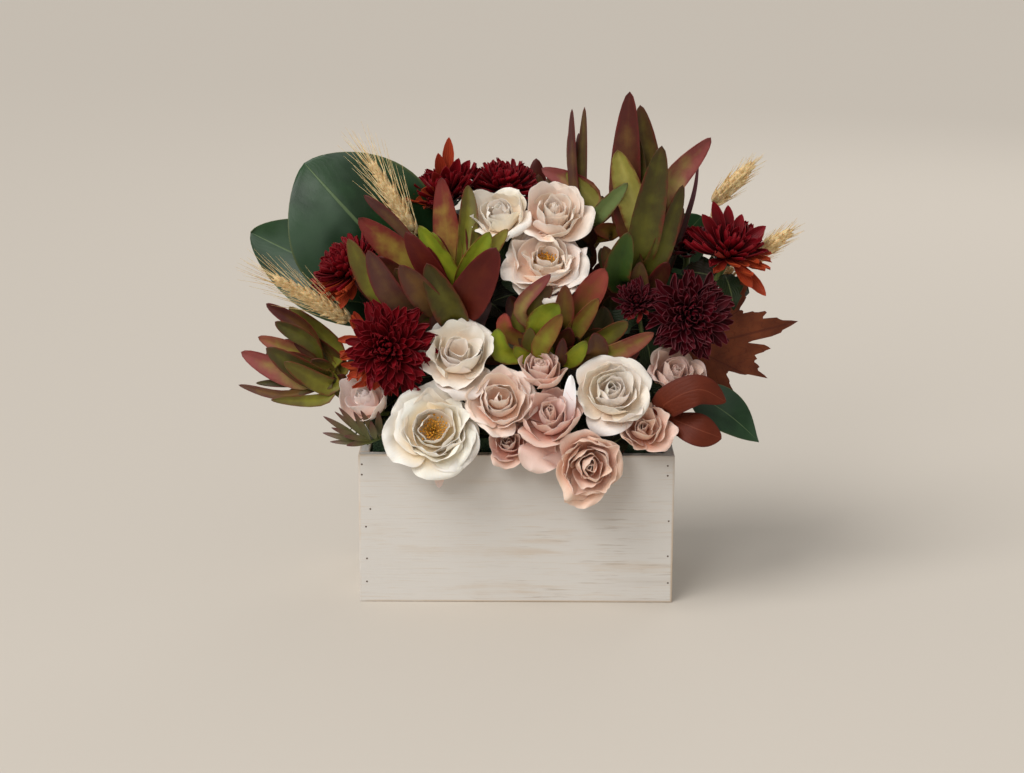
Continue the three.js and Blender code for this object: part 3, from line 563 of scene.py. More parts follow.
# The roses.
petalLooks = {  # heart of the petal, its body and its rim; the warm heart is partly the petal's own colour and partly painted warm shade in the folds, the light rim partly its own colour and partly a painted highlight
    "petal_white": ((250, 222, 172), (253, 248, 236), (254, 250, 242)),
    "petal_cream": ((251, 226, 198), (254, 245, 233), (254, 249, 241)),
    "petal_blush": ((248, 200, 170), (252, 230, 215), (253, 241, 230)),
    "petal_mauve": ((212, 142, 124), (238, 200, 186), (246, 222, 210)),
    "petal_peach": ((210, 138, 110), (238, 198, 178), (247, 224, 207)),
    "petal_pale": ((230, 186, 168), (241, 218, 208), (246, 230, 221)),
}
petalThickness = 0.3 * mm


def petalMaterial(slotName):
    heart, body, rim = (colour(*tone) for tone in petalLooks[slotName])
    bench = Finish(slotName.replace("_", " "), 0.6, 0.25, (0.3, 0.004), {
        "Subsurface Radius": (1.0, 0.72, 0.55), "Sheen Weight": 0.15, "Sheen Roughness": 0.5})
    sheet = bench.sheet(9.0, 1.0)
    # Towards its foot the petal turns to the heart tone: partly its own warm base, partly painted warm shade
    # deep in the folds.
    shade = bench.blend(bench.between(sheet["Along"], 0.1, 0.85), heart, body)
    # Lighter along the rim: partly the petal's own colour, partly a painted highlight on its edge.
    shade = bench.layer(shade, bench.between(sheet["Rim"], 0.8, 1.0), 0.5, rim)
    shade = bench.blend(1.0, shade, bench.tone("petalTone"), "MULTIPLY")
    shade = bench.layer(shade, bench.between(sheet["Ribs"], 0.35, 0.0), 0.10, heart)
    patches = bench.mottle(shade, 70.0, 0.16)
    return bench.done(patches["Colour"], bench.plus(bench.times(sheet["Ribs"], 0.25), patches["Patch"]),
                      0.22, 0.0012)


def bentLine(root, lift, length, leans):
    # Four knots of a soft line that starts at (distance from the axis, height) and leans more or less.
    knots = [(root, lift)]
    for lean in map(math.radians, leans):
        out, up = knots[-1]
        knots.append((out + math.sin(lean) * length / 3, up + math.cos(lean) * length / 3))
    return knots


def petalForm(petal, place):
    # Turns the flat pattern into one petal of a bloom of radius 1, then puts it in its place.
    spin = Matrix.Rotation(petal["turn"], 4, "Z") @ Matrix.Rotation(petal.get("tip", 0.0), 4, "Y")
    knots, wavy, phase = petal["knots"], petal["wavy"], petal["phase"]
    isStrip = petal.get("strip", False)

    def chance(across, along, layer):  # soft noise, its own for each petal
        return noise.noise(Vector((across + phase * 9.7, along + phase * 5.3, layer + phase)))

    def form(x, y):
        discX = x if isStrip else x * math.sqrt(1 - y * y / 2)
        discY = y if isStrip else y * math.sqrt(1 - x * x / 2)
        share = (discY + 1) / 2
        atRim = smooth((share - 0.5) / 0.5)
        share -= petal["notch"] * max(0, 1 - abs(discX) * 2.5) * atRim
        if not isStrip:
            share += 0.1 * wavy * chance(discX * 1.5, 0, 20) * atRim
        rest = 1 - share
        weights = (rest ** 3, 3 * rest ** 2 * share, 3 * rest * share ** 2, share ** 3)
        slopes = (rest ** 2, 2 * rest * share, share ** 2)
        out, up = (sum(part * knot[axis] for part, knot in zip(weights, knots)) for axis in (0, 1))
        lean = math.atan2(*(sum(part * (after[axis] - before[axis])
                                for part, before, after in zip(slopes, knots, knots[1:])) for axis in (0, 1)))
        half = petal["width"] * discX * mix(petal["waist"], 1, smooth(share / 0.6))
        cup = max(out * petal["flat"], petal["tightest"])
        if isStrip:
            half *= math.sqrt(max(1 - max(0, (y - 0.55) / 0.45) ** 2, 0.09))
            push = 0.05 * math.sin(petal["waves"] * discX * 3.2 + phase + 1.6 * share) * wavy * atRim
        else:
            push = wavy * (0.2 * chance(discX * 1.3, share * 1.1, 0) * share ** 1.5
                           + 0.11 * chance(discX * 2.6, share * 1.6, 7) * atRim ** 2
                           + 0.025 * chance(discX * 6, share * 3, 13) * atRim ** 3)
            push += petal["curl"] * (0.6 + 1.2 * chance(discX * 1.2, 3, 31)) * max(0, share - 0.68) ** 2 * 7
            push += petal["roll"] * max(0, abs(discX) - 0.5) ** 2 * smooth((share - 0.3) / 0.5)
        around = half / cup + petal["skew"] * share ** 2
        push -= petal["bowl"] * discX * discX * share
        out += push * math.cos(lean)
        up -= push * math.sin(lean)
        radial = out - cup * (1 - math.cos(around)) + petal["spiral"] * around
        return place @ (spin @ Vector((radial, cup * math.sin(around), up)))

    return form


roses = {
    # middle and radius in mm, the way it faces, the share of petals in its closed heart, the height of its
    # heart and rim and its bare middle, as shares of the radius, how cupped it is, and how strongly its
    # petals wave; single petals that stand out have their foot and tip as pixels of the photo with a depth
    # in mm, their width and their light
    "rose-white-open": {
        "at": (-67, -79, 150), "face": (-0.02, -0.86, 0.5), "radius": 41, "slot": "petal_white",
        "petals": 24, "heart": 0, "dome": 0.5, "rim": 0.24, "hollow": 0.2, "cup": 0.25, "wavy": 1.25,
        "seed": 3,
        "single": (((441, 455, -80), (439, 487, -92), 9, (0.86, 0.66, 0.66)),)},
    "rose-blush-left": {
        "at": (-47, -55, 203), "face": (0.0, -0.72, 0.7), "radius": 35, "slot": "petal_cream", "petals": 18,
        "heart": 0, "dome": 0.72, "rim": 0.4, "hollow": 0.1, "cup": 0.6, "wavy": 1.1, "seed": 11},
    "rose-blush-cup": {
        "at": (-14, -74, 171), "face": (0, -0.8, 0.6), "radius": 31, "slot": "petal_blush", "petals": 22,
        "heart": 0.2, "dome": 0.72, "rim": 0.42, "hollow": 0.06, "cup": 0.65, "wavy": 1.1, "seed": 7},
    "rose-mauve-bud": {
        "at": (20, -62, 192), "face": (-0.05, -0.6, 0.8), "radius": 22, "slot": "petal_mauve", "petals": 17,
        "heart": 0.5, "dome": 0.95, "rim": 0.8, "hollow": 0, "cup": 1.2, "wavy": 0.8, "seed": 5,
        "wide": 1.35, "light": (1.12, 1.2, 1.22)},
    "rose-mauve-low": {
        "at": (27, -82, 159), "face": (-0.05, -0.72, 0.68), "radius": 29, "slot": "petal_mauve",
        "petals": 21, "heart": 0.4, "dome": 0.85, "rim": 0.4, "hollow": 0, "cup": 0.85, "wavy": 1,
        "seed": 9,
        "single": (((566, 442, -86), (571, 376, -84), 11, (1.25, 1.75, 2.0)),
                   ((548, 438, -88), (531, 470, -101), 34, (1.08, 1.12, 1.12)),
                   ((556, 440, -88), (560, 466, -99), 26, (1.0, 1.0, 1.0)))},
    "rose-cream-full": {
        "at": (77, -70, 178), "face": (0, -0.82, 0.56), "radius": 33, "slot": "petal_cream", "petals": 24,
        "heart": 0.28, "dome": 0.75, "rim": 0.36, "hollow": 0.03, "cup": 0.6, "wavy": 0.85, "seed": 21},
    "rose-peach-drooping": {
        "at": (58, -94, 129), "face": (0.05, -0.97, 0.05), "radius": 31, "slot": "petal_peach",
        "petals": 24, "heart": 0.25, "dome": 0.65, "rim": 0.35, "hollow": 0.04, "cup": 0.4, "wavy": 1.5,
        "seed": 31},
    "rose-taupe": {
        "at": (102, -78, 150), "face": (0.05, -0.8, 0.6), "radius": 24, "slot": "petal_peach", "petals": 16,
        "heart": 0.3, "dome": 0.7, "rim": 0.5, "hollow": 0.05, "cup": 0.6, "wavy": 1.2, "seed": 41},
    "rose-pale-right": {
        "at": (128, -43, 184), "face": (0.15, -0.65, 0.75), "radius": 27, "slot": "petal_pale",
        "petals": 18, "heart": 0.3, "dome": 0.85, "rim": 0.5, "hollow": 0.04, "cup": 0.8, "wavy": 1.1,
        "seed": 43, "light": (0.84, 0.74, 0.7)},
    "rose-pale-left": {
        "at": (-118, -54, 164), "face": (-0.4, -0.6, 0.7), "radius": 25, "slot": "petal_pale", "petals": 15,
        "heart": 0.5, "dome": 0.95, "rim": 0.8, "hollow": 0.0, "cup": 1.2, "wavy": 0.8, "seed": 47,
        "wide": 1.35, "light": (1.14, 1.22, 1.26)},
    "rose-small-mauve": {
        "at": (-6, -78, 139), "face": (-0.1, -0.85, 0.5), "radius": 21, "slot": "petal_mauve", "petals": 16,
        "heart": 0.3, "dome": 0.75, "rim": 0.4, "hollow": 0, "cup": 0.7, "wavy": 1.2, "seed": 53},
    "rose-cream-top": {
        "at": (-11, 0, 308), "face": (-0.25, -0.6, 0.75), "radius": 29, "slot": "petal_cream", "petals": 18,
        "heart": 0.25, "dome": 0.8, "rim": 0.45, "hollow": 0.04, "cup": 0.75, "wavy": 1.2, "seed": 59,
        "light": (1, 1.01, 1.0)},
    "rose-blush-top": {
        "at": (29, -3, 309), "face": (0.05, -0.65, 0.75), "radius": 31, "slot": "petal_blush", "petals": 20,
        "heart": 0.35, "dome": 0.85, "rim": 0.45, "hollow": 0, "cup": 0.8, "wavy": 1, "seed": 61,
        "light": (1.03, 1.09, 1.1)},
    "rose-open-top": {
        "at": (23, -25, 275), "face": (0, -0.68, 0.72), "radius": 39, "slot": "petal_blush", "petals": 22,
        "heart": 0, "dome": 0.6, "rim": 0.28, "hollow": 0.14, "cup": 0.45, "wavy": 1.3, "seed": 67,
        "light": (1.03, 1.1, 1.12)},
    "rose-cream-back": {
        "at": (-46, 74, 168), "face": (-0.1, 0.85, 0.5), "radius": 36, "slot": "petal_cream", "petals": 24,
        "heart": 0.3, "dome": 0.72, "rim": 0.35, "hollow": 0.04, "cup": 0.6, "wavy": 1, "seed": 71},
    "rose-blush-back": {
        "at": (34, 78, 172), "face": (0.1, 0.85, 0.45), "radius": 35, "slot": "petal_blush", "petals": 24,
        "heart": 0.3, "dome": 0.72, "rim": 0.35, "hollow": 0.04, "cup": 0.6, "wavy": 1, "seed": 73},
}


def rosePetals(rose):
    # A closed heart of upright petals, then cupped ones, then petals that flare outward.
    chance = random.Random(rose["seed"])
    count = rose["petals"]
    inHeart = round(count * rose["heart"])
    for index in range(count):
        if index < inHeart:
            part = index / max(inHeart - 1, 1)
            wide = mix(0.05, 0.27, part) * chance.uniform(0.9, 1.1)
            high = mix(0.94, 0.98, part) * rose["dome"] * chance.uniform(0.94, 1.06)
            knots = [(0.02, 0), (wide * 1.2, high * 0.25), (wide * 1.4, high * 0.7),
                     (wide * mix(0.15, 1.0, part), high)]
            width = mix(0.2, 0.46, part)
            loose = mix(0.35, 0.75, part)
        else:
            part = (index - inHeart) / (count - 1 - inHeart)
            flare = smooth((part - mix(0.2, 0.7, rose["cup"])) / 0.4)
            inner = 0.32 if inHeart else rose["hollow"] + 0.06
            reach = mix(inner, 1, part ** 0.85) * mix(1, mix(1, 0.84, rose["cup"]), 1 - flare)
            reach *= chance.uniform(0.88, 1.08)
            high = mix(rose["dome"] * 0.97, rose["rim"], max(flare, part * (1 - rose["cup"])))
            high *= chance.uniform(0.82, 1.14)
            closed = ((0.06, 0), (reach, -0.02), (reach * 1.12, high * 0.6), (reach * 0.94, high))
            flared = ((0.06, 0), (reach * 0.62, -0.04), (reach * 0.88, high * 1.05),
                      (reach * 1.08, high * 0.95))
            knots = [(mix(a, c, flare), mix(b, d, flare)) for (a, b), (c, d) in zip(closed, flared)]
            width = mix(0.44, 0.68, part ** 0.7)
            loose = mix(0.8, 1.2, part)
        bright = chance.uniform(0.93, 1.0)
        yield {
            "knots": knots,
            "turn": rose["seed"] + index * goldenTurn + chance.uniform(-0.45, 0.45),
            "tip": chance.uniform(-0.1, 0.1) * loose,
            "skew": chance.uniform(-0.22, 0.22) * loose,
            "width": width * rose.get("wide", 1.0) * chance.uniform(0.86, 1.16),
            "waist": 0.62,
            "flat": mix(1.0, 1.25, min(loose, 1)),
            "tightest": mix(0.06, 0.3, min(loose, 1)),
            "wavy": rose["wavy"] * loose * mix(0.6, 1.1, part) * chance.uniform(0.7, 1.3),
            "phase": chance.uniform(0, 6.3),
            "curl": chance.uniform(0.0, 0.28) * loose,
            "roll": 0.3 * loose * chance.uniform(0.0, 1.4),
            "bowl": 0.05 * loose,
            "spiral": 0.02,
            "notch": chance.uniform(-0.05, 0.06),
            # A rose's light factor scales all its petal tones against other roses of the same material:
            # partly a change of their own colour, partly painted light and shade on the whole bloom.
            "tone": tuple(bright * chance.uniform(*span) * light for span, light in zip(
                ((1, 1), (0.955, 0.995), (0.92, 0.985)), rose.get("light", (1, 1, 1)))),
        }


singlePetal = {"face": (0, -1, 0.5), "peak": 0.6, "blunt": 0.5, "fold": -0.25, "bow": 0.12, "ripple": 0.35,
               "waves": 3.2, "stalk": 0.6, "hook": -0.3}
petalPattern = flatPattern(18, 15)


def roseBloom(name, rose, finish):
    place = bloomPlace(rose)
    petals = [shaped(petalPattern, petalForm(petal, place), {"petalTone": petal["tone"]})
              for petal in rosePetals(rose)]
    for foot, tip, width, light in rose.get("single", ()):
        petal = {"root": seen(*foot), "tip": seen(*tip), "width": width, **singlePetal}
        petals.append(shaped(petalPattern, leafForm(petal), {"petalTone": light}))
    bloom = joined(petals, name.replace("rose-", "") + "-rose-petals")
    thicken(bloom, petalThickness)
    softShade(bloom)
    settle(bloom, finish, rose["slot"], name)


petalFinishes = {slotName: petalMaterial(slotName) for slotName in petalLooks}
for name, rose in roses.items():
    roseBloom(name, rose, petalFinishes[rose["slot"]])
print("roses done")


# The stamens of the two open roses.
stamenLook = {"thread": colour(214, 170, 70), "anther": colour(206, 142, 34), "count": 64}


def stamenMaterial():
    bench = Finish("golden stamens", 0.7, glow=(0.1, 0.002))
    shade = bench.mottle(bench.tone("petalTone"), 700.0, 0.5)
    return bench.done(shade["Colour"], shade["Patch"], 0.4, 0.0004)


def stamenPattern():
    # A thin thread with a two-lobed head, one unit high.
    thread = added(bpy.ops.mesh.primitive_cone_add, vertices=5, radius1=0.035, radius2=0.02, depth=0.9,
                   location=(0, 0, 0.45))
    bpy.ops.object.transform_apply()
    head = added(bpy.ops.mesh.primitive_ico_sphere_add, subdivisions=1, radius=0.09, location=(0, 0, 0.95),
                 scale=(1.2, 0.7, 1))
    bpy.ops.object.transform_apply()
    paint(thread, {"petalTone": stamenLook["thread"]})
    paint(head, {"petalTone": stamenLook["anther"]})
    return joined([thread, head], "stamen-pattern")


def stamenCluster(roseName, pattern, finish):
    rose = roses[roseName]
    chance = random.Random(rose["seed"] + 1)
    place = bloomPlace(rose)
    pieces = []
    for index in range(stamenLook["count"]):
        share = math.sqrt((index + 0.5) / stamenLook["count"])
        turn = index * goldenTurn
        out = Vector((math.cos(turn), math.sin(turn), 0))
        lean = mix(0.05, 0.75, share) + chance.uniform(-0.1, 0.1)
        along = out * math.sin(lean) + upward * math.cos(lean)
        height = mix(0.2, 0.3, chance.random())
        root = out * 0.1 * share + upward * 0.08
        stand = aimed(root, along, chance.uniform(0, 6.3))
        pieces.append(copyOf(pattern, place @ stand @ Matrix.Scale(height, 4)))
    whole = joined(pieces, "stamens-" + roseName + "-threads")
    softShade(whole)
    settle(whole, finish, "golden_stamen", "stamens-" + roseName)


stamenShape = stamenPattern()
stamenFinish = stamenMaterial()
for roseName in ("rose-white-open", "rose-open-top"):
    stamenCluster(roseName, stamenShape, stamenFinish)


# The chrysanthemums.
mumLook = {
    "plain": ((54, 0, 4), (126, 10, 22), (166, 56, 64)),  # foot of a ray, its tip and its edges; the light edges are painted highlights
    "dark": ((34, 0, 5), (84, 6, 20), (156, 92, 100)),
    "rustFoot": colour(150, 34, 34),
    "rustBase": colour(150, 44, 30),
    "rust": colour(206, 100, 46),
    "thickness": 0.6 * mm,
}

mums = {
    # middle and radius in mm, the way it faces, how far it is closed, from 0 to 1, and the side on which its
    # rays turn rust; single rays that stand out have their tip as a pixel of the photo with a depth in mm,
    # and how rusty they are
    "mum-left-front": {
        "at": (-105, -62, 216), "face": (-0.1, -0.95, 0.3), "radius": 37, "rays": 170, "closed": 0.0,
        "rusty": (-1, 0.1, -0.5), "seed": 2},
    "mum-left-upper": {
        "at": (-139, -6, 270), "face": (-0.6, -0.35, 0.75), "radius": 35, "rays": 130, "closed": 0.25,
        "rusty": (0.2, -0.6, -1), "seed": 4,
        "single": ((318, 294, -22, 1), (341, 309, -28, 1), (330, 302, -26, 1), (352, 300, -28, 0.9))},
    "mum-top-right": {
        "at": (-12, 54, 330), "face": (0.05, -0.25, 1), "radius": 33, "rays": 130, "closed": 0.3,
        "rusty": None, "seed": 6},
    "mum-top-left": {
        "at": (-60, 40, 324), "face": (-0.3, -0.25, 0.9), "radius": 36, "rays": 96, "closed": 0.55,
        "rusty": (-0.9, 0.2, -0.2), "seed": 8,
        "single": ((449, 137, 36, 0.9), (438, 153, 30, 0.7), (459, 158, 34, 0), (446, 166, 26, 0),
                   (470, 160, 40, 0), (415, 201, 30, 1), (421, 190, 26, 1), (429, 208, 24, 1),
                   (433, 172, 30, 0.3))},
    "mum-right-upper": {
        "at": (176, 3, 284), "face": (0.2, -0.4, 0.9), "radius": 37, "rays": 84, "closed": 0.5,
        "rusty": (0.5, -0.4, -1), "seed": 10,
        "single": ((713, 201, 0, 0), (702, 214, -6, 0), (728, 205, 8, 0), (742, 214, 8, 0),
                   (766, 226, 2, 0), (760, 240, -6, 0), (766, 296, -14, 1), (752, 288, -22, 1),
                   (765, 268, -10, 0.9))},
    "mum-right-behind": {
        "at": (143, 34, 282), "face": (-0.1, -0.2, 1), "radius": 28, "rays": 84, "closed": 0.5,
        "rusty": None, "seed": 12, "dark": True},
    "mum-right-front": {
        "at": (142, -38, 239), "face": (0.15, -0.97, 0.2), "radius": 35, "rays": 170, "closed": 0.0,
        "rusty": None, "seed": 14, "dark": True},
    "mum-half-open": {
        "at": (98, -32, 249), "face": (-0.1, -0.8, 0.6), "radius": 20, "rays": 84, "closed": 0.6,
        "rusty": (0, -1, 0), "seed": 16, "dark": True},
    "mum-back": {
        "at": (-100, 68, 222), "face": (-0.35, 0.9, 0.4), "radius": 34, "rays": 96, "closed": 0.1,
        "rusty": None, "seed": 18},
}


def mumMaterial(name, tones):
    deep, bright, edge = (colour(*tone) for tone in tones)
    bench = Finish(name, 0.45, 0.16)
    sheet = bench.sheet(3.0, 0.0)
    shade = bench.blend(bench.between(sheet["Along"], 0.25, 1.0), deep, bright)
    # Lighter band along both edges of each ray: painted highlights.
    shade = bench.layer(shade, bench.between(sheet["Side"], 0.8, 1.0), 0.4, edge)
    shade = bench.blend(1.0, shade, bench.tone("petalTone"), "MULTIPLY")
    rusty = bench.add("ShaderNodeSeparateColor", {0: bench.tone("rust")}).outputs[0]
    stripe = bench.times(rusty, bench.between(sheet["Ribs"], 0.0, 0.8))
    warm = bench.layer(mumLook["rustBase"], stripe, 0.35, mumLook["rust"])
    warm = bench.blend(bench.between(sheet["Along"], 0.1, 0.7), mumLook["rustFoot"], warm)
    patches = bench.mottle(bench.blend(rusty, shade, warm), 160.0, 0.35)
    return bench.done(patches["Colour"], sheet["Ribs"], 0.3, 0.0006)


def mumRays(mum):
    chance = random.Random(mum["seed"])
    count = mum["rays"]
    closed = mum["closed"]
    facing = bloomPlace(mum).to_3x3()
    for index in range(count):
        share = math.sqrt((index + 0.5) / count)
        length = mix(0.34, 1.0, share ** 0.9) * chance.uniform(0.88, 1.1)
        mean = mix(98, 66, closed) * share ** mix(0.95, 1.3, closed) + chance.uniform(-5, 5)
        bend = mix(30, 12, share) + chance.uniform(-6, 10)
        turn = index * goldenTurn
        rust = 0
        if mum["rusty"] and share > 0.84:
            outward = facing @ Vector((math.cos(turn), math.sin(turn), -0.2))
            side = outward.normalized().dot(Vector(mum["rusty"]).normalized())
            rust = smooth((side - 0.3) / 0.3)
        width = mix(0.044, 0.098, share) * chance.uniform(0.85, 1.15)
        yield {
            "knots": bentLine(0.1 * share, mix(0.12, -0.06, share), length,
                              (mean + bend * 0.5, mean, mean - bend)),
            "turn": turn, "width": width, "waist": 0.55, "flat": 3.0, "tightest": 0.5, "wavy": 0.3,
            "waves": 0.8, "phase": chance.uniform(0, 6.3), "strip": True, "bowl": width * 0.75, "spiral": 0,
            "skew": chance.uniform(-0.12, 0.12), "notch": chance.uniform(-0.04, 0.06),
            "tone": (chance.uniform(0.7, 1.0),) * 3, "rust": (rust,) * 3,
        }


singleRay = {"width": 10, "face": (0, -1, 0.3), "peak": 0.66, "blunt": 0.75, "fold": 0.5, "bow": -0.05,
             "stalk": 0.3}
rayPattern = flatPattern(4, 9)


def mumBloom(name, mum, finish, slotName):
    place = bloomPlace(mum)
    rays = [shaped(rayPattern, petalForm(ray, place), {"petalTone": ray["tone"], "rust": ray["rust"]})
            for ray in mumRays(mum)]
    for across, down, depth, rust in mum.get("single", ()):
        ray = {"root": mum["at"], "tip": seen(across, down, depth), **singleRay}
        rays.append(shaped(rayPattern, leafForm(ray), {"petalTone": (0.9,) * 3, "rust": (rust,) * 3}))
    bloom = joined(rays, name.replace("mum-", "") + "-chrysanthemum-rays")
    thicken(bloom, mumLook["thickness"])
    softShade(bloom)
    settle(bloom, finish, slotName, name)


mumKinds = {False: (mumMaterial("chrysanthemum burgundy", mumLook["plain"]), "mum_burgundy"),
            True: (mumMaterial("chrysanthemum dark", mumLook["dark"]), "mum_dark")}
for name, mum in mums.items():
    mumBloom(name, mum, *mumKinds[mum.get("dark", False)])
print("chrysanthemums done")


# The leafy heads, and the stems that all foliage shares.
leafTones = {  # root and tip of each kind of leaf
    "red": ((156, 134, 56), (114, 44, 38)),
    "coral": ((140, 104, 44), (160, 72, 60)),
    "maroon": ((98, 66, 30), (72, 26, 20)),
    "darkRed": ((98, 36, 20), (80, 20, 16)),
    "olive": ((126, 124, 42), (92, 82, 34)),
    "darkOlive": ((92, 90, 30), (64, 56, 24)),
    "oliveBrown": ((118, 104, 42), (80, 56, 32)),
    "lime": ((166, 172, 46), (124, 138, 36)),
    "paleLime": ((172, 162, 88), (134, 128, 58)),
    "limeRed": ((146, 150, 46), (128, 92, 40)),
    "limePink": ((154, 154, 60), (144, 84, 64)),
    "yellowOlive": ((160, 148, 62), (138, 130, 56)),
    "mauve": ((100, 72, 46), (80, 46, 42)),
    "greyMauve": ((104, 82, 76), (112, 88, 88)),
    "tan": ((120, 88, 46), (90, 58, 46)),
    "pink": ((158, 140, 76), (136, 70, 66)),
    "green": ((38, 58, 18), (54, 74, 26)),
    "paleGreen": ((118, 132, 78), (104, 122, 72)),
    "rust": ((128, 104, 40), (108, 62, 36)),
}
headLook = {"flush": colour(104, 34, 28), "point": colour(78, 32, 28), "vein": colour(70, 50, 34),
            "thickness": 1.1 * mm,
            "pixelSize": 0.84}  # in mm, for the widths of the leaves in the photo
stemLook = {
    "green": ((70, 84, 40), (104, 116, 58)),
    "woody": ((92, 70, 46), (124, 98, 62)),
    "radius": 2.0,  # in mm, as the places are
    "foot": (-44, -6, 4),  # heights of its straight foot in the foam, from its first place
}


def headLeafMaterial():
    bench = Finish("leathery head leaf", 0.45, 0.2, (0.08, 0.003))
    sheet = bench.sheet(5.0, 7.0)
    drift = bench.noise(bench.objectPlace(), 60.0, 3.0)
    flecks = bench.noise(bench.objectPlace(), 220.0, 4.0)
    share = bench.plus(sheet["Along"], bench.times(bench.minus(drift, 0.5), 0.8))
    share = bench.plus(share, bench.times(sheet["Side"], 0.25))
    shade = bench.blend(bench.between(share, 0.42, 0.98), bench.tone("rootTone"), bench.tone("tipTone"))
    edge = bench.plus(sheet["Side"], bench.times(bench.minus(flecks, 0.5), 0.5))
    flush = bench.times(bench.between(edge, 0.72, 1.05), bench.between(drift, 0.3, 0.62))
    shade = bench.layer(shade, flush, 0.8, headLook["flush"])
    shade = bench.layer(shade, bench.between(sheet["Along"], 0.86, 1.0), 0.55, headLook["point"])
    shade = bench.layer(shade, bench.between(sheet["Ribs"], 0.3, 0.0), 0.06, headLook["vein"])
    patches = bench.mottle(shade, 140.0, 0.3)
    height = bench.plus(bench.times(sheet["Ribs"], 0.3), patches["Patch"])
    rough = bench.plus(bench.times(patches["Patch"], 0.2), 0.36)
    return bench.done(patches["Colour"], height, 0.2, 0.0006, rough)


def stemMaterial(name, low, high):
    bench = Finish(name, 0.5, glow=(0.05, 0.002))
    streaks = bench.noise(bench.objectPlace(), 60.0, 4.0, 0.6, (6.0, 6.0, 1.0))
    shade = bench.blend(bench.between(streaks, 0.3, 0.7), colour(*low), colour(*high))
    return bench.done(shade, streaks, 0.3, 0.0005)


leafPattern = flatPattern(6, 16)
greenStem = stemMaterial("green stem", *stemLook["green"])
brownStem = stemMaterial("woody stem", *stemLook["woody"])
headLeafFinish = headLeafMaterial()

